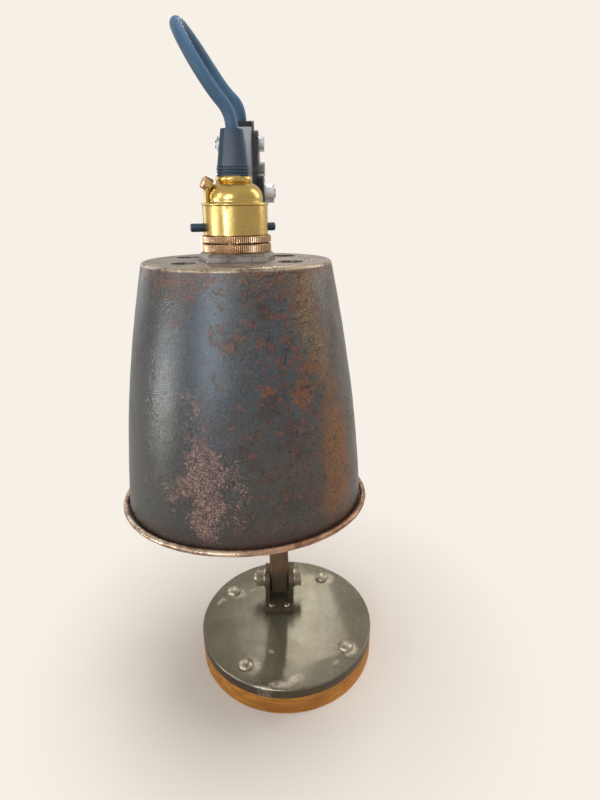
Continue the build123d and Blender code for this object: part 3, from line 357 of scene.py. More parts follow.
# Each mark: arc length from the front, height below the top, half width, half height (mm)
SPECKLED = ((-14, -101, 11, 16), (-12, -125, 10, 19), (-22, -113, 9, 7))
SPRINKLED = ((-18, -76, 9, 22), (-27, -66, 6, 6), (-10, -112, 18, 34), (-30, -118, 10, 8),
             (118, -95, 14, 40), (-150, -70, 12, 46))
ORANGE = ((40, -69, 8, 9), (48, -53, 12, 5), (-84, -12, 8, 12), (-112, -112, 12, 20), (20, -62, 5, 4))
RUNS = ((63, -108, 13, 46), (185, -70, 14, 46), (-128, -96, 10, 34))
# Golden marks: brown rust, and on the front right a warm reflection painted into it
GOLDEN_RUST_AND_GLEAM = ((50, -16, 13, 26), (56, -44, 10, 22), (-95, -44, 12, 20), (150, -30, 20, 18))
RED = ((-2, -37, 8, 5), (-31, -24, 5, 8), (32, -16, 18, 12), (-34, -9, 26, 7), (10, -24, 7, 7),
       (24, -32, 14, 3), (-8, -30, 5, 5), (34, -84, 24, 4), (-185, -20, 24, 12))
MOTTLED = ((44, -92, 48, 62), (20, -132, 40, 22), (160, -90, 60, 50), (-120, -70, 34, 36))
# How far a mark's outline drifts, and how far off noise is taken to be unlike the noise here (mm)
DRIFT_ACROSS = 26
DRIFT_ALONG = 34
NOISE_STEP = (300, 0, 0)
# Where a zone of the shade begins and where it is full (mm): arc length, height or radius
BUSY_ARC = (-60, 45)
WARM_ARC = (10, 80)
# Painted shade: the paint grows darker from the first height down to the second
SHADED_HEIGHT = (-70, -140)
BAND_HEIGHT = (-20, -2)
FOOT_HEIGHT = (-134, -147)
# Top and shoulder: rubbed paint, laid lighter as a painted sheen and a painted highlight line
SHOULDER_WEAR_GLINT_HEIGHT = (-2.4, -1.4)
SHOULDER_WEAR_GLINT_RADIUS = (51.8, 53.0)
TOP_WEAR_SHEEN_HEIGHT = (-1.2, -0.3)
TOP_WEAR_SHEEN_RADIUS = (52.8, 52.0)
BEAD_ZONE = (74.2, 74.8)
COPPER_ARC = (-25, 30)


print("large marks on the shade", sum(map(len, (SPECKLED, SPRINKLED, ORANGE, RUNS, GOLDEN_RUST_AND_GLEAM, RED, MOTTLED))))


# %% Shade paint: noises and kinds of mark
class ShadePaint(Finish):
    """The shade's paint: where a point is on the shade, the noises there, and ways to mark it."""

    def __init__(self):
        super().__init__("shade_paint", Specular_IOR_Level=0.62)
        place = self.on_head()
        elsewhere = self.node("ShaderNodeMapping", None, {"Vector": place, "Location": NOISE_STEP})
        self.place = place
        self.elsewhere = elsewhere
        x, y, self.height = self.parts(place)
        self.around = x.calculate("ARCTAN2", x, y * -1.0) * SHADE_MEAN_RADIUS
        self.radius = x.calculate("SQRT", x * x + y * y)
        self.cloud = self.noise(place, 0.06, 6.0, 0.65)
        self.ragged = self.noise(place, 0.20, 6.0, 0.72)
        self.grain = self.noise(place, 0.75, 4.0, 0.7)
        self.dust = self.noise(place, 2.0, 2.0, 0.6)
        self.drift_across = (self.noise(place, 0.04, 5.0, 0.65) - 0.5) * DRIFT_ACROSS
        self.drift_along = (self.noise(elsewhere, 0.04, 5.0, 0.65) - 0.5) * DRIFT_ALONG
        self.flecks = (self.grain - 0.5) * 2.2 + (self.ragged - 0.5) * 1.6
        self.tone = self.ease(self.dust * 0.6 + self.grain * 0.4, 0.40, 0.60)
        self.busy = self.ease(self.around + self.drift_across * 3.0, *BUSY_ARC)

    def marked(self, marks):
        """Near 1 in the middle of a mark and 0 well outside all of them, with a drifting outline."""
        total = 0.0
        for middle, level, half_width, half_height in marks:
            across = (self.around + self.drift_across - middle) / half_width
            along = (self.height + self.drift_along - level) / half_height
            total = self.ease(across * across + along * along, 1.9, 0.0).most(total)
        return total

    def dissolved(self, mask, cover):
        """A mask that breaks up into flecks towards its edges."""
        return self.ease(mask * cover + self.flecks, 0.50, 0.72)

    def rust(self, share, mark, dark_tone, pale_tone):
        """Lays a mark over the colour so far, in two tones that change from grain to grain."""
        self.lay(mark * share, self.blend(self.tone, dark_tone, pale_tone))


print("shade paint can be marked")


# %% Shade paint: slate, stains and the large marks
def lay_slate(paint):
    """Slate paint, warmer on the right and painted darker below as shade, with dark stains."""
    cloud, grain = paint.cloud, paint.grain
    broad = paint.noise(paint.place, 0.014, 3.0)
    paint.colour = paint.blend(paint.ease(broad, 0.38, 0.62), tint(70, 78, 88), tint(82, 83, 79))
    paint.lay(paint.ease(paint.around, *WARM_ARC) * 0.5, tint(80, 75, 62))
    # Painted shade: darker towards the bottom
    paint.lay(paint.ease(paint.height, *SHADED_HEIGHT) * 0.6, tint(66, 63, 55))
    paint.lay(paint.ease(cloud, 0.50, 0.72) * 0.5, tint(54, 52, 52))
    paint.lay(paint.ease(grain, 0.48, 0.36) * 0.5, tint(46, 45, 47))
    paint.lay(paint.ease(grain, 0.54, 0.68) * 0.4, tint(116, 117, 117))
    stains = paint.ease(paint.ragged * 0.55 + cloud * 0.45 + (grain - 0.5) * 0.25, 0.50, 0.57)
    paint.lay(stains * (0.20 + paint.busy * 0.55), tint(55, 43, 37))


def lay_large_marks(paint):
    """The large rust marks, one kind over the other; gives how rough they are, and the flakes."""
    paint.rust(0.7, paint.dissolved(paint.marked(MOTTLED), 0.62), tint(60, 46, 39), tint(94, 72, 58))
    band = paint.ease(paint.height + paint.drift_along * 0.5, *BAND_HEIGHT)
    paint.rust(0.75, paint.dissolved(band, 0.70), tint(80, 54, 46), tint(138, 102, 84))
    # Golden patches: rust with a painted warm reflection
    golden = paint.marked(GOLDEN_RUST_AND_GLEAM)
    golden = golden * (0.45 + paint.dissolved(golden, 0.70) * 0.55)
    paint.rust(0.75, golden, tint(98, 72, 48), tint(158, 128, 86))
    run = paint.marked(RUNS) * paint.ease(paint.cloud + paint.flecks * 0.25, 0.22, 0.52)
    paint.rust(0.92, run, tint(100, 62, 24), tint(152, 100, 42))
    paint.rust(0.85, paint.dissolved(paint.marked(ORANGE), 0.84), tint(84, 52, 36), tint(146, 92, 58))
    crowd = paint.marked(RED).most(paint.busy * 0.55).most(band * 0.7)
    flakes = paint.ease(paint.ragged * 0.8 + paint.grain * 0.2 + crowd * 0.115, 0.605, 0.640)
    paint.rust(0.85, flakes, tint(72, 47, 41), tint(130, 86, 70))
    sprinkled = paint.dissolved(paint.marked(SPRINKLED), 0.56)
    speckled = paint.dissolved(paint.marked(SPECKLED), 1.2).most(sprinkled)
    grit = paint.noise(paint.place, 1.15, 3.0, 0.7)
    pale = paint.ease(grit * 0.75 + paint.ragged * 0.25, 0.46, 0.60)
    paint.lay(speckled * 0.9, paint.blend(pale, tint(70, 49, 46), tint(182, 146, 134)))
    return speckled.most(golden * 0.6).most(run * 0.8), flakes


print("slate and large marks ready")


# %% Shade paint: small marks, edges and the whole
def lay_small_marks(paint):
    """Specks, dots, pits and scratches; gives how deep they are sunk."""
    place, elsewhere, busy = paint.place, paint.elsewhere, paint.busy
    specks = paint.ease(paint.noise(elsewhere, 0.30, 6.0, 0.75) + busy * 0.05, 0.625, 0.655)
    paint.lay(specks * 0.85, tint(43, 35, 33))
    dots = paint.spots(place, 9.0, 3.4, 0.45) * paint.ease(paint.ragged, 0.36, 0.5)
    paint.rust(0.85, dots, tint(66, 42, 37), tint(128, 78, 60))
    pits = paint.spots(elsewhere, 4.2, 1.6, 0.45) * (0.35 + busy * 0.65)
    paint.lay(pits * 0.85, tint(38, 31, 30))
    slanted = paint.node("ShaderNodeMapping", None, {"Vector": place, "Rotation": (0.10, 0.16, 0.2)})
    lines = paint.noise(paint.stretch(slanted, 0.035, 0.035, 0.7), 1.0, 4.0, 0.6)
    scratches = paint.ease(lines, 0.605, 0.66) * busy * paint.ease(paint.cloud, 0.40, 0.54)
    paint.lay(scratches * 0.8, tint(44, 36, 33))
    return dots * 0.3 + pits * 0.9 + scratches * 0.3


def lay_edges(paint):
    """The rusty foot, the rubbed top and shoulder, painted lighter for their sheen and highlight line, and
    the coppery bead; gives how bare the metal is.
    """
    cloud, height, radius = paint.cloud, paint.height, paint.radius
    paint.lay(paint.ease(height + paint.flecks * 3.0, *FOOT_HEIGHT) * 0.75, tint(62, 38, 27))
    # The flat top is laid pale grey-beige: rubbed paint with a painted reflection of the room
    top = paint.ease(height, *TOP_WEAR_SHEEN_HEIGHT) * paint.ease(radius, *TOP_WEAR_SHEEN_RADIUS)
    paint.lay(top * paint.ease(cloud, 0.3, 0.62) * 0.9, tint(150, 140, 127))
    # The shoulder is rubbed to bare steel and laid cream as a painted highlight line
    shoulder = paint.ease(height, *SHOULDER_WEAR_GLINT_HEIGHT) * paint.ease(radius, *SHOULDER_WEAR_GLINT_RADIUS)
    shoulder = shoulder * paint.ease(cloud + paint.flecks * 0.16, 0.36, 0.52)
    paint.lay(shoulder * 0.8, tint(204, 188, 162))
    bead = paint.ease(radius, *BEAD_ZONE)
    copper = paint.blend(paint.ease(paint.around, *COPPER_ARC), tint(240, 218, 194), tint(206, 164, 134))
    polished = paint.ease(cloud * 0.6 + paint.ragged * 0.4, 0.40, 0.58)
    paint.lay(bead * 0.95, paint.blend(polished, tint(146, 106, 84), copper))
    return shoulder.most(bead * 0.9).most(top * 0.5)


def shade_paint():
    paint = ShadePaint()
    lay_slate(paint)
    marks, flakes = lay_large_marks(paint)
    sunk = lay_small_marks(paint)
    bare = lay_edges(paint)
    rough = 0.17 + paint.cloud * 0.09 + marks * 0.16 + flakes * 0.1 + paint.grain * 0.11
    raised = paint.grain + paint.dust * 0.5 + paint.ragged * 0.4 + flakes * 0.2
    paint.relief(raised - sunk, 0.13)
    return paint.show(Base_Color=paint.colour, Roughness=rough, Metallic=bare * 0.85)


finishes = {"shade_paint": shade_paint()}
print("shade paint has", len(finishes["shade_paint"].node_tree.nodes), "nodes")

# %% [markdown]
# ## Metals
# The lampholder is polished brass, its rings a pinker knurled brass, the clamping plate dark steel,
# the base satin steel, and the arm a brown, rusted tube. A metal's colour is what it reflects, so a
# clean one is a base colour, fully metallic, with most of its character in the roughness: smears,
# fine turning lines, scuffs. Tarnish and rust, which are duller, are mixed in where noise says so.

# %% Brass
# Painted shade on the knurled rings: where it begins and is full, by radius and by height (mm)
GROOVE_SHADE_RADII = (19.80, 19.50)
GROOVE_SHADE_HEIGHTS = (15.0, 14.0)
# Each brass: its colour, its dull colour, its roughness, and a colour painted as shade in a knurl's grooves
BRASSES = {
    "brass": (tint(222, 190, 116), tint(176, 140, 86), 0.20),
    "ring_brass": (tint(240, 200, 158), tint(190, 144, 104), 0.26, tint(116, 80, 56))}


def brass(name, colour, dull, roughness, groove_shade=None):
    metal = Finish(name, Metallic=1.0)
    place = metal.on_head()
    smear = metal.noise(place, 0.14, 4.0, 0.6)
    spots = metal.noise(place, 0.7, 3.0, 0.6)
    turned = metal.noise(metal.stretch(place, 0.02, 0.02, 3.0), 1.0, 2.0)
    tarnish = metal.ease(smear + (spots - 0.5) * 0.5, 0.55, 0.78)
    metal.colour = metal.blend(tarnish * 0.8, colour, dull)
    if groove_shade:
        x, y, height = metal.parts(place)
        radius = x.calculate("SQRT", x * x + y * y)
        # Painted shade: below the ridge tips the rings are laid darker, in the knurl's valleys and on their
        # faces
        metal.lay(metal.ease(radius, *GROOVE_SHADE_RADII) * metal.ease(height, *GROOVE_SHADE_HEIGHTS) * 0.65, groove_shade)
    metal.relief(turned * 0.6 + spots * 0.4, 0.025)
    return metal.show(Base_Color=metal.colour, Roughness=roughness + smear * 0.14 + tarnish * 0.16)


for name, look in BRASSES.items():
    finishes[name] = brass(name, *look)
print("brass made:", len(BRASSES))

# %% Steels
ALOFT = (330, 350)
# Each steel: its colour, its stains, its roughness, and another colour for what sits up at the head
STEELS = {
    "bright_steel": (tint(206, 196, 174), tint(146, 134, 112), 0.22),
    "screw_steel": (tint(190, 181, 160), tint(120, 111, 97), 0.24, tint(222, 226, 230)),
    "plate_steel": (tint(172, 167, 162), tint(112, 101, 94), 0.18),
    "lamp_metal": (tint(205, 205, 205), tint(170, 168, 165), 0.25)}


def steel(name, colour, stain, roughness, aloft=None):
    metal = Finish(name, Metallic=1.0)
    place = metal.here()
    smear = metal.noise(place, 0.09, 5.0, 0.6)
    grain = metal.noise(place, 1.1, 3.0, 0.6)
    metal.colour = colour
    if aloft:
        metal.lay(metal.ease(metal.parts(place)[2], *ALOFT), aloft)
    metal.lay(metal.ease(smear + (grain - 0.5) * 0.5, 0.48, 0.75), stain)
    metal.relief(grain, 0.03)
    return metal.show(Base_Color=metal.colour, Roughness=roughness + smear * 0.2 + grain * 0.1)


for name, look in STEELS.items():
    finishes[name] = steel(name, *look)
print("steels made:", len(STEELS))

# %% The arm's rusted steel
ARM_LOW = (66, 50)
# Painted reflection: the arm's upper front face is laid bluish white; where it begins and is full, by height
# and by Y (mm)
ARM_GLEAM_HEIGHT = (345, 390)
ARM_GLEAM_FRONT = (20.8, 20.1)


def arm_steel():
    metal = Finish("arm_steel")
    place = metal.here()
    _, y, height = metal.parts(place)
    smear = metal.noise(place, 0.05, 5.0, 0.6)
    grain = metal.noise(place, 0.8, 4.0, 0.65)
    streak = metal.noise(metal.stretch(place, 0.5, 0.5, 0.03), 1.0, 3.0)
    metal.colour = metal.blend(metal.ease(smear, 0.35, 0.68), tint(104, 84, 68), tint(136, 106, 80))
    metal.lay(metal.ease(grain, 0.5, 0.7) * 0.6, tint(160, 120, 88))
    metal.lay(metal.ease(streak, 0.52, 0.7) * 0.6, tint(52, 44, 46))
    metal.lay(metal.ease(height, *ARM_LOW) * 0.85, tint(84, 78, 62))
    # Painted reflection of the window on the arm's upper front face
    metal.lay(metal.ease(height, *ARM_GLEAM_HEIGHT) * metal.ease(y, *ARM_GLEAM_FRONT) * 0.85, tint(198, 206, 216))
    metal.relief(grain, 0.08)
    return metal.show(Base_Color=metal.colour, Roughness=0.42 + smear * 0.2, Metallic=0.35 + streak * 0.3)


finishes["arm_steel"] = arm_steel()
print("finishes so far", sorted(finishes))

# %% [markdown]
# ## The base plate's satin, scuffs and painted gleams
# The plate has an olive-grey satin skin. Round its screws it is paler, partly rubbed and partly a
# painted highlight, and at the front edge a few pale scuffs cut through. A picture texture could hold
# them, but a short list of places in millimetres keeps them editable: each scuff is a soft ellipse
# that lets stretched noise show.

# %% Base steel
# Each scuff or partly painted highlight: x and y of its middle, half length, half width (mm), turn (degrees)
SCUFFS_AND_GLEAMS = ((-4, -67, 11, 4.0, 6), (7, -62, 8, 4.5, 20), (-16, -70, 8, 1.8, -14), (-46, 30, 9, 8.0, 10),
          (52, -34, 8, 7.5, 40), (36, 49, 9, 7.0, -20), (-28, -50, 9, 8.5, 10), (-60, 20, 6, 1.8, 60),
          (-32, 34, 4, 1.6, 30), (-12, -36, 2.2, 3.0, 60), (40, -47, 4.0, 1.4, 40), (-56, 22, 3.0, 1.2, 0))
PLATE_SIDE = (26.2, 25.6)


def base_steel():
    metal = Finish("base_steel")
    place = metal.here()
    x, y, z = metal.parts(place)
    smear = metal.noise(place, 0.035, 4.0, 0.6)
    cloud = metal.noise(place, 0.12, 5.0, 0.6)
    grain = metal.noise(place, 1.3, 3.0, 0.65)
    fine = metal.noise(metal.stretch(place, 0.25, 1.6, 1.0), 1.0, 4.0, 0.7)
    scuffed_and_gleaming = 0.0
    for middle_x, middle_y, half_length, half_width, turn_by in SCUFFS_AND_GLEAMS:
        cos, sin = math.cos(math.radians(turn_by)), math.sin(math.radians(turn_by))
        along = ((x - middle_x) * cos + (y - middle_y) * sin) / half_length
        across = ((y - middle_y) * cos - (x - middle_x) * sin) / half_width
        distance = along * along + across * across + (cloud - 0.5) * 3.0
        scuffed_and_gleaming = metal.ease(distance, 1.2, 0.1).most(scuffed_and_gleaming)
    bare = scuffed_and_gleaming * metal.ease(fine * 0.35 + grain * 0.35 + cloud * 0.3, 0.445, 0.53)
    side = metal.ease(z, *PLATE_SIDE)
    metal.colour = metal.blend(metal.ease(smear, 0.36, 0.64), tint(134, 130, 114), tint(124, 117, 100))
    metal.lay(metal.ease(cloud, 0.54, 0.74) * 0.4, tint(94, 85, 70))
    metal.lay(metal.ease(grain, 0.6, 0.75) * 0.35, tint(164, 155, 138))
    # Pale patches: real scuffs, and beside the screws partly a painted highlight
    metal.lay(bare * 0.9, tint(246, 232, 212))
    metal.lay(side * 0.75, tint(72, 58, 46))
    metal.relief(grain * 0.7 + bare * 0.8, 0.014)
    rough = 0.21 + cloud * 0.09 + grain * 0.04 + side * 0.15 + bare * 0.12
    return metal.show(Base_Color=metal.colour, Roughness=rough, Metallic=0.7 - bare * 0.6)


finishes["base_steel"] = base_steel()
print("scuffs placed", len(SCUFFS_AND_GLEAMS))

# %% [markdown]
# ## Wood, paint, mouldings and glass
# The wooden disc is a slice of stained plank, so its grain runs along one direction through the whole
# disc and shows as long streaks on the side. Noise stretched along X does that in three dimensions
# with no seam. The dark pieces differ mostly in gloss: painted yoke, moulded grip, rubber flex.

# %% Wood
def wood():
    timber = Finish("wood", Specular_IOR_Level=0.25)
    place = timber.here()
    fibres = timber.stretch(place, 0.05, 1.0, 1.0)
    bow = timber.noise(timber.stretch(place, 0.012, 0.05, 0.05), 1.0, 3.0)
    figure = timber.noise(timber.stretch(place, 0.018, 0.12, 0.30), 1.0, 4.0, 0.6, 1.2)
    pores = timber.noise(fibres, 1.3, 3.0, 0.7)
    timber.colour = timber.blend(timber.ease(figure, 0.36, 0.62), tint(178, 114, 44), tint(218, 152, 66))
    timber.lay(timber.ease(bow, 0.5, 0.7) * 0.4, tint(150, 92, 34))
    timber.lay(timber.ease(pores, 0.56, 0.7) * 0.35, tint(124, 74, 26))
    timber.relief(pores, 0.06)
    return timber.show(Base_Color=timber.colour, Roughness=0.48 + pores * 0.2)


finishes["wood"] = wood()
print("wood made")


# %% Dark finishes, insulator, glass
# Each: its colour, its worn colour, its roughness, grains in a millimetre, relief (mm), share worn
SKINS = {
    "black_steel": (tint(36, 37, 40), tint(78, 72, 68), 0.30, 0.6, 0.06, 0.6),
    # black_moulding is the grip's black plastic, laid navy as a painted blue reflection of the window
    "black_moulding": (tint(48, 65, 86), tint(66, 82, 100), 0.22, 0.7, 0.03, 0.4),
    "plug_moulding": (tint(24, 24, 26), tint(40, 40, 42), 0.34, 1.2, 0.03, 0.4),
    "flex": (tint(64, 98, 130), tint(80, 110, 138), 0.42, 0.5, 0.0, 0.4),
    "tie": (tint(30, 30, 30), tint(52, 52, 52), 0.40, 0.8, 0.03, 0.3),
    "insulator": (tint(226, 222, 212), tint(196, 186, 170), 0.30, 0.4, 0.03, 0.5)}


def moulded_skin(name, colour, worn, roughness, grain_scale, depth, wear):
    skin = Finish(name)
    place = skin.here()
    grain = skin.noise(place, grain_scale, 3.0, 0.6)
    cloud = skin.noise(place, 0.11, 4.0, 0.6)
    rubbed = skin.ease(cloud + (grain - 0.5) * 0.6, 0.52, 0.74) * wear
    if depth:
        skin.relief(grain, depth)
    return skin.show(Base_Color=skin.blend(rubbed, colour, worn), Roughness=roughness + cloud * 0.18)


for name, look in SKINS.items():
    finishes[name] = moulded_skin(name, *look)


def lamp_glass():
    glass = Finish("lamp_glass", Transmission_Weight=0.75, IOR=1.45)
    place = glass.on_head()
    frost = glass.noise(place, 0.8, 3.0, 0.6)
    milk = glass.noise(place, 0.05, 3.0, 0.5)
    colour = glass.blend(milk * 0.4, tint(246, 244, 238), tint(226, 222, 214))
    return glass.show(Base_Color=colour, Roughness=0.22 + frost * 0.16)


finishes["lamp_glass"] = lamp_glass()
print("finishes", sorted(finishes))

# %% [markdown]
# ## From CAD solid to dressed piece
# CAD solids have perfectly sharp edges, which look false because a real edge always catches a line of
# light. Each plain solid is copied, its loose triangles are merged, flat faces are joined up, and a
# small bevel rounds every sharp edge. The copy then stands for its node, so the frame is untouched.

# %% Dressing helpers
MERGE_WITHIN = 2e-6
FLAT_WITHIN = math.radians(0.4)
SHARP_ABOVE = math.radians(32)
FACET_ABOVE = math.radians(20)


def smooth_object(name, mesh, slot):
    """An object with one material and smooth faces."""
    made = bpy.data.objects.new(name, mesh)
    scene.collection.objects.link(made)
    mesh.materials.clear()
    mesh.materials.append(finishes[slot])
    mesh.shade_smooth()
    return made


def add_piece(name, mesh, slot, body, *cad_nodes, sharp=SHARP_ABOVE):
    """Shows a finished mesh with a body to ride on and the nodes that it stands for."""
    piece = smooth_object(name, mesh, slot)
    mesh.set_sharp_from_angle(angle=sharp)
    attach(piece, body)
    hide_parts(*cad_nodes)
    return piece


def settled(mesh, name, make_modifier):
    """The mesh after one modifier, as a plain mesh."""
    host = bpy.data.objects.new(name, mesh)
    scene.collection.objects.link(host)
    make_modifier(host)
    evaluated = host.evaluated_get(bpy.context.evaluated_depsgraph_get())
    result = bpy.data.meshes.new_from_object(evaluated)
    bpy.data.objects.remove(host)
    return result


def merged_mesh(node):
    """A CAD node's mesh with its triangles joined into whole faces."""
    mesh = nodes[node].data.copy()
    work = bmesh.new()
    work.from_mesh(mesh)
    bmesh.ops.remove_doubles(work, verts=work.verts, dist=MERGE_WITHIN)
    bmesh.ops.dissolve_limit(work, angle_limit=FLAT_WITHIN, verts=work.verts, edges=work.edges)
    work.to_mesh(mesh)
    work.free()
    return mesh


def dress(node, edge=0.3):
    """Stands a bevelled copy in for a CAD node; edge is the bevel's width in millimetres."""
    def bevel(host):
        modifier = host.modifiers.new("edges", "BEVEL")
        modifier.width = edge * MM
        modifier.segments = 2
        modifier.limit_method = "ANGLE"
        modifier.angle_limit = SHARP_ABOVE
    mesh = merged_mesh(node)
    if edge:
        mesh = settled(mesh, node, bevel)
    return add_piece(node + "_dressed", mesh, slot_of[node], body_of[node], node, sharp=FACET_ABOVE)


print("dressing helpers ready")

# %% [markdown]
# ## The flex
# A 7 mm rubber flex leaves the cord grip, loops over to the arm's end cap, runs down inside the arm
# and leaves through a bush behind the foot; the spare lead lies coiled behind the base. A cord is a
# line before it is a tube, so each run is a NURBS curve that the route's points pull into shape. The
# loop crosses the head's hinge and the tail the arm's, and both are made as plain meshes.

# %% Flex helpers
FLEX_DIAMETER = 7.0 * MM
FLEX_FACETS = 9


def flex_curve(name, points, resolution):
    """A smooth curve that the route's points pull into shape, with no thickness yet."""
    data = bpy.data.curves.new(name, "CURVE")
    data.dimensions = "3D"
    data.resolution_u = resolution
    data.use_fill_caps = True
    spline = data.splines.new("NURBS")
    spline.points.add(len(points) - 1)
    for point, place in zip(spline.points, points):
        point.co = (*place, 1.0)
    spline.order_u = 3
    spline.use_endpoint_u = True
    host = bpy.data.objects.new(name, data)
    scene.collection.objects.link(host)
    return host


def flex_tube(name, points, resolution):
    """The tube's mesh, the points of its centre line and its length."""
    host = flex_curve(name, points, resolution)

    def evaluated_mesh():
        graph = bpy.context.evaluated_depsgraph_get()
        return bpy.data.meshes.new_from_object(host.evaluated_get(graph))

    line = [vertex.co.copy() for vertex in evaluated_mesh().vertices]
    host.data.bevel_depth = FLEX_DIAMETER / 2
    host.data.bevel_resolution = FLEX_FACETS
    tube = evaluated_mesh()
    bpy.data.objects.remove(host)
    length = sum((b - a).length for a, b in zip(line, line[1:]))
    return tube, line, length


def add_cord(name, mesh, bodies, start, end, *cad_nodes):
    """Shows a cord mesh and hides the nodes that it stands for."""
    piece = smooth_object(name, mesh, "flex")
    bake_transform(piece)
    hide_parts(*cad_nodes)
    return piece


print("flex is", FLEX_DIAMETER, "m thick")

# %% The loop over the top
GRIP_TOP = 69.2 * MM
LOOP_EXIT_RUN = 8.0 * MM
ARM_CAP = Vector((-22.5, 31.0, 420.0)) * MM
LOOP_BEND = Vector((4.9, 14.6, 13.2)) * MM
LOOP_STEPS = 24
LOOP_OFFSETS = ((-9.5, -59.5, 16.5), (-18.5, -59.0, 30.9), (-25.6, -51.4, 42.7), (-29.9, -37.9, 49.6),
                (-29.9, -22.2, 49.6), (-25.6, -8.4, 42.7), (-18.5, -0.6, 30.9), (-9.0, 0.2, 16.5))

grip_end = HEAD @ Vector((0, 0, GRIP_TOP))
loop_points = [grip_end, HEAD @ Vector((0, 0, GRIP_TOP + LOOP_EXIT_RUN))]
loop_points += [ARM_CAP + Vector(offset) * MM for offset in LOOP_OFFSETS]
loop_points += [ARM_CAP + Vector((0, 0, LOOP_EXIT_RUN)), ARM_CAP]
loop_mesh, loop_line, loop_length = flex_tube("flex_loop_cord", loop_points, LOOP_STEPS)
loop = add_cord("flex_loop_cord", loop_mesh, ("head", "arm"), grip_end, grip_end + LOOP_BEND,
                "flex_loop")
print("loop length", round(loop_length, 4), "m")

# %% The lead: tail, coil and run to the plug
BUSH_ROOT = Vector((-6.5, 36.0, 97.5))
BUSH_LENGTH = 24.0
BUSH_DROP = math.radians(50)
TAIL_EXIT_RUN = 15.5
TAIL_POINTS = ((-1.5, 71.5, 56.5), (3.5, 86.5, 45.5), (1.0, 99.5, 31.5), (-8.0, 110.0, 18.0),
               (-21.5, 116.5, 9.5))
COIL_MIDDLE = (-60.0, 167.0)
COIL_LEAD_IN = 7.0
COIL_OUTER_RADIUS = 47.4
COIL_PITCH = 7.6
COIL_TURNS = 6.5
COIL_CLIMB = (3.0, 3.5)
COIL_LOW = 4.7
COIL_POINTS_PER_TURN = 36
PLUG_LEAD = 24.0
LEAD_STEPS = 6


def coil_point(turns):
    """A point of the wound lead: in for three turns, up for half a turn, and out again on top."""
    half = COIL_TURNS / 2
    radius = COIL_OUTER_RADIUS - COIL_PITCH * (half - abs(turns - half))
    rise = min(max((turns - COIL_CLIMB[0]) / (COIL_CLIMB[1] - COIL_CLIMB[0]), 0), 1)
    height = COIL_LOW + COIL_PITCH * rise * rise * (3 - 2 * rise)
    angle = math.radians(-90) - 2 * math.pi * turns
    x, y = COIL_MIDDLE
    return Vector((x + radius * math.cos(angle), y + radius * math.sin(angle), height))


bush_way = Vector((0, math.cos(BUSH_DROP), -math.sin(BUSH_DROP)))
bush_end = BUSH_ROOT + bush_way * BUSH_LENGTH
coil_start = coil_point(0) + Vector((COIL_LEAD_IN, 0, 0))
lead_points = [bush_end, bush_end + bush_way * TAIL_EXIT_RUN]
lead_points += [Vector(point) for point in TAIL_POINTS]
lead_points += [coil_start + Vector((TAIL_EXIT_RUN, 0, 0)), coil_start]
steps = round(COIL_TURNS * COIL_POINTS_PER_TURN)
lead_points += [coil_point(k / COIL_POINTS_PER_TURN) for k in range(steps + 1)]
lead_points += [coil_point(COIL_TURNS) + Vector((PLUG_LEAD * part, 0, 0)) for part in (0.5, 1.0)]
lead_points = [point * MM for point in lead_points]
lead_mesh, lead_line, lead_length = flex_tube("flex_lead_cord", lead_points, LEAD_STEPS)
lead = add_cord("flex_lead_cord", lead_mesh, ("arm", "base"), bush_end * MM, coil_start * MM,
                "flex_tail", "flex_coil")
print("lead length", round(lead_length, 4), "m")

# %% Flex held inside the grip and the arm, and the pieces on the lead
HELD_IN_GRIP = 29.0 * MM
GRIP_STEPS = 4
ARM_STEPS = 8
ARM_ROUTE = ((-22.5, 31.0, 420.0), (-22.5, 31.0, 340.0), (-22.5, 31.0, 327.0), (-21.8, 31.0, 312.0),
             (-7.2, 31.0, 137.0), (-6.5, 31.0, 122.5), (-6.5, 31.0, 112.0), (-6.5, 31.0, 103.5))
EDGES_ON_LEAD = {"coil_tie": 0.2, "plug_relief": 0.3, "plug_body": 0.4, "plug_pins": 0.4}

grip_route = [grip_end, HEAD @ Vector((0, 0, GRIP_TOP - HELD_IN_GRIP / 2)),
              HEAD @ Vector((0, 0, GRIP_TOP - HELD_IN_GRIP))]
grip_mesh, _, grip_length = flex_tube("flex_in_grip_run", grip_route, GRIP_STEPS)
add_piece("flex_in_grip_run", grip_mesh, "flex", "head", "flex_in_grip")
arm_route = [Vector(point) * MM for point in ARM_ROUTE] + [bush_end * MM]
arm_mesh, _, arm_length = flex_tube("flex_in_arm_run", arm_route, ARM_STEPS)
add_piece("flex_in_arm_run", arm_mesh, "flex", "arm", "flex_in_arm")
on_the_lead = [dress(node, edge) for node, edge in EDGES_ON_LEAD.items()]
print("held in grip", round(grip_length, 4), "and in arm", round(arm_length, 4), "m")

# %% [markdown]
# ## The shade
# The shade was spun or pressed from sheet steel, rolled over a wire at the rim, and has been knocked
# about since. Turning a profile gives the sheet and its rolled bead in one skin. Slow noise then
# pushes the wall in and out by a third of a millimetre, and a few real dents are added, because a
# perfect bucket reflects in lines that are too clean. The vents are cut last.

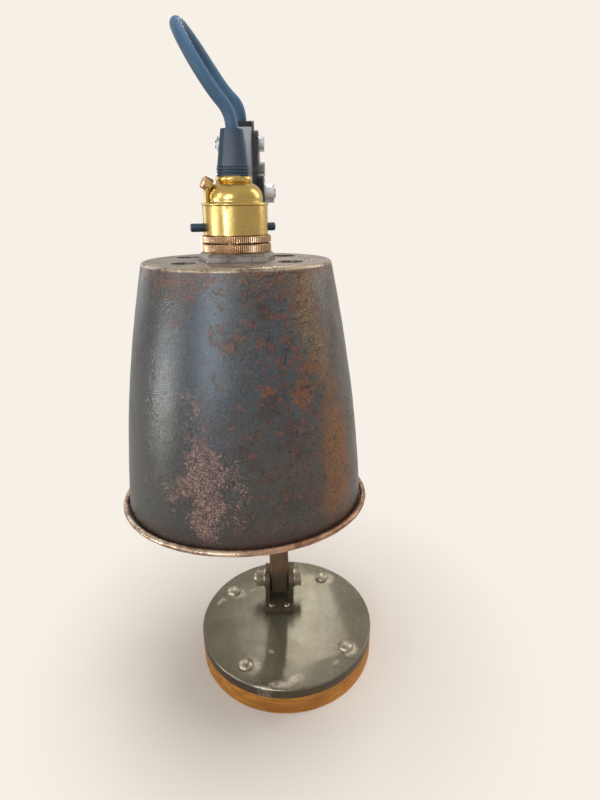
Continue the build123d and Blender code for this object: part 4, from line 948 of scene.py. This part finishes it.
# %% Turning helpers
def arc_through(first, middle, last, count):
    """Points on the circle through three points, as (radius, height) pairs."""
    (ax, ay), (bx, by), (cx, cy) = first, middle, last
    d = 2 * (ax * (by - cy) + bx * (cy - ay) + cx * (ay - by))
    a2, b2, c2 = ax * ax + ay * ay, bx * bx + by * by, cx * cx + cy * cy
    ox = (a2 * (by - cy) + b2 * (cy - ay) + c2 * (ay - by)) / d
    oy = (a2 * (cx - bx) + b2 * (ax - cx) + c2 * (bx - ax)) / d
    radius = math.hypot(ax - ox, ay - oy)
    start = math.atan2(ay - oy, ax - ox)
    sweep_by = math.remainder(math.atan2(cy - oy, cx - ox) - start, 2 * math.pi)
    return [(ox + radius * math.cos(start + sweep_by * k / count),
             oy + radius * math.sin(start + sweep_by * k / count)) for k in range(count + 1)]


def turned(name, profile, segments, closed, shift=None):
    """A mesh turned about the head's axis from (radius, height) pairs in millimetres."""
    work = bmesh.new()
    rings = []
    for radius, height in profile:
        count = segments if radius > 0 else 1
        loop_of = []
        for k in range(count):
            angle = 2 * math.pi * k / segments
            pushed = radius + (shift(angle, height, radius) if shift else 0.0)
            local = Vector((pushed * math.cos(angle), pushed * math.sin(angle), height)) * MM
            loop_of.append(work.verts.new(HEAD @ local))
        rings.append(loop_of)
    pairs = list(zip(rings, rings[1:]))
    if closed:
        pairs.append((rings[-1], rings[0]))
    for lower, upper in pairs:
        for k in range(segments):
            ahead = k + 1
            corners = [lower[k % len(lower)], lower[ahead % len(lower)],
                       upper[ahead % len(upper)], upper[k % len(upper)]]
            work.faces.new(list(dict.fromkeys(corners)))
    bmesh.ops.recalc_face_normals(work, faces=work.faces)
    mesh = bpy.data.meshes.new(name)
    work.to_mesh(mesh)
    work.free()
    return mesh


print("turning helpers ready")

# %% Shade profile
SHADE_WALL = 1.2
SHADE_HOLE = 14.45
SHADE_TOP = 54.7
SHADE_SHOULDER = 2.2
SHADE_MID = (66.8, -72.0)
SHADE_RIM = (73.6, -147.95)
SHADE_LIP = -149.15
BEAD_MIDDLE = (75.85, -147.75)
BEAD_RADIUS = 1.75
BEAD_FROM = 186.0
BEAD_TO = -127.0
TOP_STEPS = 6
SHOULDER_STEPS = 8
WALL_STEPS = 56
BEAD_STEPS = 24
INNER_WALL_STEPS = 40
INNER_SHOULDER_STEPS = 6
INNER_TOP_STEPS = 3

flat = SHADE_TOP - SHADE_SHOULDER
lean = math.sqrt(0.5)
inner_shoulder = SHADE_SHOULDER - SHADE_WALL
outer_line = [(SHADE_HOLE + (flat - SHADE_HOLE) * k / TOP_STEPS, 0.0) for k in range(TOP_STEPS)]
outer_line += arc_through((flat, 0), (flat + SHADE_SHOULDER * lean, SHADE_SHOULDER * (lean - 1)),
                          (SHADE_TOP, -SHADE_SHOULDER), SHOULDER_STEPS)
outer_line += arc_through((SHADE_TOP, -SHADE_SHOULDER), SHADE_MID, SHADE_RIM, WALL_STEPS)[1:]
bead_line = []
for k in range(BEAD_STEPS + 1):
    angle = math.radians(BEAD_FROM + (BEAD_TO - BEAD_FROM) * k / BEAD_STEPS)
    bead_line.append((BEAD_MIDDLE[0] + BEAD_RADIUS * math.cos(angle),
                      BEAD_MIDDLE[1] + BEAD_RADIUS * math.sin(angle)))
inner_line = arc_through((SHADE_RIM[0] - SHADE_WALL, SHADE_LIP), (SHADE_MID[0] - SHADE_WALL, SHADE_MID[1]),
                         (SHADE_TOP - SHADE_WALL, -SHADE_SHOULDER), INNER_WALL_STEPS)
inner_line += arc_through((SHADE_TOP - SHADE_WALL, -SHADE_SHOULDER),
                          (flat + inner_shoulder * lean, inner_shoulder * lean - SHADE_SHOULDER),
                          (flat, -SHADE_WALL), INNER_SHOULDER_STEPS)[1:]
inner_line += [(SHADE_HOLE + (flat - SHADE_HOLE) * k / INNER_TOP_STEPS, -SHADE_WALL)
               for k in reversed(range(INNER_TOP_STEPS))]
shade_profile = outer_line + bead_line + inner_line
print("points in the shade's profile", len(shade_profile))

# %% Dents, vents and the finished shade
SHADE_SEGMENTS = 192
SHADE_YAW = math.radians(6.0)
VENT_RADIUS = 7.1
VENT_SEGMENTS = 48
VENT_PLACES = ((29.0, 20.5), (-29.0, 20.5), (29.0, -20.5), (-29.0, -20.5))
# Each dent: angle from the front (degrees), height, spread and depth (mm)
DENTS = ((74, -26, 9, 1.0), (68, -60, 14, 0.5), (-52, -118, 16, 0.6), (24, -128, 18, 0.5),
         (150, -80, 20, 0.9))
# Each wave of the wall: how far it pushes (mm) and how many there are in a millimetre
WALL_WAVES = ((0.35, 0.022), (0.12, 0.09))
BEAD_WAVES = ((0.16, 0.16),)
STILL_TOP = 1.5
STILL_FADE = 12.0


def shade_shift(angle, height, radius):
    """How far the wall is pushed out here: slow waves, plus the dents."""
    wall = min(max((-height - STILL_TOP) / STILL_FADE, 0), 1)
    spot = Vector((math.cos(angle), math.sin(angle), 0)) * SHADE_MEAN_RADIUS + Vector((0, 0, height))
    waves = WALL_WAVES + (BEAD_WAVES if radius > SHADE_RIM[0] else ())
    push = sum(depth * noise.noise(spot * scale) for depth, scale in waves)
    front = math.atan2(math.cos(angle), -math.sin(angle))
    for degrees, level, spread, depth_of in DENTS:
        arc = math.remainder(front - math.radians(degrees), 2 * math.pi) * SHADE_MEAN_RADIUS
        push -= depth_of * math.exp(-(arc * arc + (height - level) ** 2) / (spread * spread))
    return push * wall


def cut_vents(host):
    """Cuts the four vents out of the shade's top."""
    cutter = bmesh.new()
    for x, y in VENT_PLACES:
        place = HEAD @ Matrix.Rotation(SHADE_YAW, 4, "Z") @ Matrix.Translation(Vector((x, y, 0)) * MM)
        bmesh.ops.create_cone(cutter, cap_ends=True, segments=VENT_SEGMENTS, radius1=VENT_RADIUS * MM,
                              radius2=VENT_RADIUS * MM, depth=4 * SHADE_WALL * MM, matrix=place)
    tool_mesh = bpy.data.meshes.new("vents")
    cutter.to_mesh(tool_mesh)
    cutter.free()
    tool = bpy.data.objects.new("vents", tool_mesh)
    scene.collection.objects.link(tool)
    modifier = host.modifiers.new("vents", "BOOLEAN")
    modifier.operation = "DIFFERENCE"
    modifier.object = tool


shade_mesh = turned("shade_skin", shade_profile, SHADE_SEGMENTS, True, shade_shift)
shade_mesh = settled(shade_mesh, "shade_skin", cut_vents)
bpy.data.objects.remove(bpy.data.objects["vents"])
add_piece("shade_skin", shade_mesh, "shade_paint", "head", "shade")
print("shade faces", len(shade_mesh.polygons))

# %% [markdown]
# ## Knurled rings
# Two threaded rings clamp the plate and the shade, and both are knurled so that fingers can turn
# them. Over a hundred ridges are the same ridge repeated round a circle, which is work for Geometry
# Nodes: one small prism, instanced on a circle's points, each turned to face outwards.

# %% Geometry tree helper
def geometry_tree(name, inputs):
    """An empty geometry tree with named inputs, as the tree and its input sockets by name."""
    group = bpy.data.node_groups.new(name, "GeometryNodeTree")
    group.interface.new_socket("Geometry", in_out="INPUT", socket_type="NodeSocketGeometry")
    for label, kind in inputs.items():
        group.interface.new_socket(label, in_out="INPUT", socket_type=kind)
    group.interface.new_socket("Geometry", in_out="OUTPUT", socket_type="NodeSocketGeometry")
    tree = Tree(group)
    entry = group.nodes.new("NodeGroupInput")
    return tree, {output.name: Socket(tree, output) for output in entry.outputs if output.name}


def along_z(tree, amount):
    return tree.node("ShaderNodeCombineXYZ", None, {"Z": amount})


def copies_in_ring(tree, count, radius, copy, angle):
    """Copies of a geometry on a circle's points, each turned about Z by an angle."""
    circle = tree.node("GeometryNodeMeshCircle", None, {"Vertices": count, "Radius": radius})
    return tree.node("GeometryNodeInstanceOnPoints", None, {
        "Points": circle, "Instance": copy, "Rotation": along_z(tree, angle)})


def close_tree(tree, geometry, material):
    """Ends a tree: real geometry in place of instances, with a material on it."""
    real = tree.node("GeometryNodeRealizeInstances", None, {"Geometry": geometry})
    painted = tree.node("GeometryNodeSetMaterial", None, {"Geometry": real, "Material": material})
    tree.feed(tree.tree.nodes.new("NodeGroupOutput").inputs["Geometry"], painted)
    return tree.tree


def grown(name, mesh, group, values):
    """The plain mesh that a geometry tree makes from a mesh and its named inputs."""
    def grow(host):
        modifier = host.modifiers.new(name, "NODES")
        modifier.node_group = group
        for item in group.interface.items_tree:
            if item.in_out == "INPUT" and item.name in values:
                modifier[item.identifier] = values[item.name]
    return settled(mesh, name, grow)


print("geometry helper ready")

# %% The knurl tree
knurl, socket = geometry_tree("knurl", {
    "Ridges": "NodeSocketInt", "Radius": "NodeSocketFloat", "Ridge Size": "NodeSocketFloat",
    "Ridge Height": "NodeSocketFloat", "Level": "NodeSocketFloat", "Material": "NodeSocketMaterial"})
prism = knurl.node("GeometryNodeMeshCylinder", None, {
    "Vertices": 4, "Radius": socket["Ridge Size"], "Depth": socket["Ridge Height"]})
turn_each = knurl.node("GeometryNodeInputIndex") * (2 * math.pi) / socket["Ridges"]
ridges = copies_in_ring(knurl, socket["Ridges"], socket["Radius"], prism, turn_each)
ridges = knurl.node("GeometryNodeTransform", None, {
    "Geometry": ridges, "Translation": along_z(knurl, socket["Level"])})
both = knurl.tree.nodes.new("GeometryNodeJoinGeometry")
knurl.feed(both.inputs[0], socket["Geometry"])
knurl.feed(both.inputs[0], ridges)
knurl_tree = close_tree(knurl, Socket(knurl, both.outputs[0]), socket["Material"])
print("knurl tree nodes", len(knurl_tree.nodes))

# %% Knurled rings on the holder
RING_HEIGHTS = {"shade_ring_lower": (4.5, 9.3), "shade_ring_upper": (9.7, 13.7)}
RING_RADIUS = 19.8
RING_BORE = 14.4
RING_RIDGES = 104
RIDGE_SIZE = 0.45
RIDGE_SUNK = 0.8
RING_EDGE = 0.5
RING_EDGE_INSET = 0.15
RING_SEGMENTS = 112


def knurled_ring(node, low, high):
    """A ring between two heights, with rounded edges and ridges round it."""
    core = RING_RADIUS - RIDGE_SIZE * RIDGE_SUNK
    edge = [(core - RING_EDGE, low), (core - RING_EDGE_INSET, low + RING_EDGE_INSET), (core, low + RING_EDGE)]
    profile = [(RING_BORE, low)] + edge
    profile += [(radius, low + high - height) for radius, height in reversed(profile)]
    body = turned(node, profile, RING_SEGMENTS, True)
    body.transform(HEAD.inverted())
    mesh = grown(node, body, knurl_tree, {
        "Ridges": RING_RIDGES, "Radius": core * MM, "Ridge Size": RIDGE_SIZE * MM,
        "Ridge Height": (high - low - 2 * RING_EDGE) * MM, "Level": (low + high) / 2 * MM,
        "Material": finishes["ring_brass"]})
    mesh.transform(HEAD)
    add_piece(node + "_knurled", mesh, "ring_brass", "head", node)
    return len(mesh.polygons)


for node, (low, high) in RING_HEIGHTS.items():
    faces = knurled_ring(node, low, high)
    print(node, "faces", faces)

# %% [markdown]
# ## The lampholder's dome
# The holder's cap is spun brass: a rounded ledge where it meets the body, a slim dome, and a rolled
# neck for the cord grip. A turned profile with many small steps keeps the polish smooth, so lights
# run round it in unbroken streaks. The plain body below keeps its switch holes from the CAD solid.

# %% Dome and neck
LEDGE_LOW = 29.4
LEDGE_HIGH = 31.2
LEDGE_RADIUS = 18.9
HOLDER_RADIUS = 18.3
DOME_RADIUS = 15.6
DOME_MIDDLE = (13.87, 38.79)
DOME_TOP = 41.6
CROWN_RADIUS = 9.2
NECK_TOP = 45.0
NECK_RADIUS = 10.2
FLEX_HOLE = 3.9
DOME_WALL = 1.0
# The fillet between ledge and dome: out from the dome's side and up from the ledge
DOME_FILLET = ((0.6, 0.0), (0.2, 0.1), (0.0, 0.5))
NECK_ROLL = 0.4
LEDGE_STEPS = 10
FILLET_STEPS = 4
DOME_STEPS = 20
NECK_STEPS = 10
INNER_DOME_STEPS = 10
DOME_SEGMENTS = 128

ledge_middle = (LEDGE_LOW + LEDGE_HIGH) / 2
neck_middle = (DOME_TOP + NECK_TOP) / 2
crown = (CROWN_RADIUS, DOME_TOP)
fillet = [(DOME_RADIUS + out, LEDGE_HIGH + rise) for out, rise in DOME_FILLET]
dome_profile = arc_through((HOLDER_RADIUS, LEDGE_LOW), (LEDGE_RADIUS, ledge_middle),
                           (HOLDER_RADIUS, LEDGE_HIGH), LEDGE_STEPS)
dome_profile += arc_through(*fillet, FILLET_STEPS)
dome_profile += arc_through(fillet[-1], DOME_MIDDLE, crown, DOME_STEPS)[1:]
dome_profile += arc_through(crown, (NECK_RADIUS, neck_middle), (CROWN_RADIUS + NECK_ROLL, NECK_TOP),
                            NECK_STEPS)[1:]
dome_profile += [(FLEX_HOLE, NECK_TOP), (FLEX_HOLE, DOME_TOP)]
dome_profile += arc_through((CROWN_RADIUS - DOME_WALL, DOME_TOP - DOME_WALL),
                            (DOME_MIDDLE[0] - DOME_WALL, DOME_MIDDLE[1] - DOME_WALL),
                            (DOME_RADIUS - DOME_WALL, LEDGE_HIGH - DOME_WALL), INNER_DOME_STEPS)
dome_profile += [(HOLDER_RADIUS - DOME_WALL, LEDGE_HIGH - DOME_WALL), (HOLDER_RADIUS - DOME_WALL, LEDGE_LOW)]
dome_mesh = turned("holder_dome_spun", dome_profile, DOME_SEGMENTS, True)
add_piece("holder_dome_spun", dome_mesh, "brass", "head", "holder_dome")
print("dome faces", len(dome_mesh.polygons))

# %% [markdown]
# ## Screws
# Four dome-headed screws hold the steel to the wood, all alike, but no two are driven to the same
# turn. Copies could be placed by hand, but then each change is made four times over. Geometry Nodes
# places copies of one turned screw round the base, each with a seeded random turn.

# %% Dome screws round the base
SCREW_CIRCLE = 58.5
SCREW_FIRST_ANGLE = 57.0
SCREW_COUNT = 4
SCREW_SEAT = 27.0
SCREW_RADIUS = 6.1
SCREW_HEIGHT = 4.2
SCREW_SHANK = 2.5
SCREW_DEPTH = 20.0
SCREW_BRIM = 0.5
SCREW_DOME_ANGLES = range(12, 91, 6)
SCREW_SEGMENTS = 48
SCREW_SEED = 7

screw_profile = [(0.0, SCREW_HEIGHT)]
for angle in map(math.radians, SCREW_DOME_ANGLES):
    rise = (SCREW_HEIGHT - SCREW_BRIM) * math.cos(angle)
    screw_profile.append((SCREW_RADIUS * math.sin(angle), SCREW_BRIM + rise))
screw_profile += [(SCREW_RADIUS, 0.0), (SCREW_SHANK, 0.0), (SCREW_SHANK, -SCREW_DEPTH), (0.0, -SCREW_DEPTH)]
screw_mesh = turned("dome_screw", screw_profile, SCREW_SEGMENTS, False)
screw_mesh.transform(HEAD.inverted())
template = bpy.data.objects.new("dome_screw", screw_mesh)

ring_of, socket = geometry_tree("ring_of_screws", {
    "Count": "NodeSocketInt", "Radius": "NodeSocketFloat", "Seat": "NodeSocketFloat",
    "First Angle": "NodeSocketFloat", "Seed": "NodeSocketInt", "Screw": "NodeSocketObject",
    "Material": "NodeSocketMaterial"})
screw = ring_of.node("GeometryNodeObjectInfo", None, {"Object": socket["Screw"]}, "Geometry")
spin = ring_of.node("FunctionNodeRandomValue", {"data_type": "FLOAT"}, {
    "Min": 0.0, "Max": 2 * math.pi, "Seed": socket["Seed"]}, 1)
screws = copies_in_ring(ring_of, socket["Count"], socket["Radius"], screw, spin)
screws = ring_of.node("GeometryNodeTransform", None, {
    "Geometry": screws, "Translation": along_z(ring_of, socket["Seat"]),
    "Rotation": along_z(ring_of, socket["First Angle"])})
ring_tree = close_tree(ring_of, screws, socket["Material"])
screws_mesh = grown("plate_screws_set", bpy.data.meshes.new("plate_screws_set"), ring_tree, {
    "Count": SCREW_COUNT, "Radius": SCREW_CIRCLE * MM, "Seat": SCREW_SEAT * MM,
    "First Angle": math.radians(SCREW_FIRST_ANGLE), "Seed": SCREW_SEED, "Screw": template,
    "Material": finishes["screw_steel"]})
bpy.data.objects.remove(template)
add_piece("plate_screws_set", screws_mesh, "screw_steel", "base", "plate_screws")
print("plate screws", SCREW_COUNT, "faces", len(screws_mesh.polygons))

# %% Everything else, dressed
# The width of the rounded edge (mm) and the nodes that have it
EDGES = {
    0.35: ("steel_plate", "base_clevis", "clevis_washers", "arm_end_cap", "knuckle_cheek_left",
           "knuckle_cheek_right", "yoke", "head_plate", "head_pivot_washers"),
    0.25: ("clevis_screws", "clevis_bolt", "clevis_nut", "knuckle_bolts", "knuckle_nuts", "yoke_screws",
           "yoke_nuts", "head_pivot_bolt", "head_pivot_nut", "cord_grip_collar", "cord_grip_sleeve",
           "push_bar", "earth_lug", "earth_screw", "pivot_spacer", "exit_bush", "arm_pivot_sleeve"),
    0.0: ("wood_disc", "arm_tube", "holder_body", "holder_insert", "contact_pins", "shade_ring_inner",
          "lamp_cap", "lamp_glass")}

for edge, group in EDGES.items():
    for node in group:
        dress(node, edge)
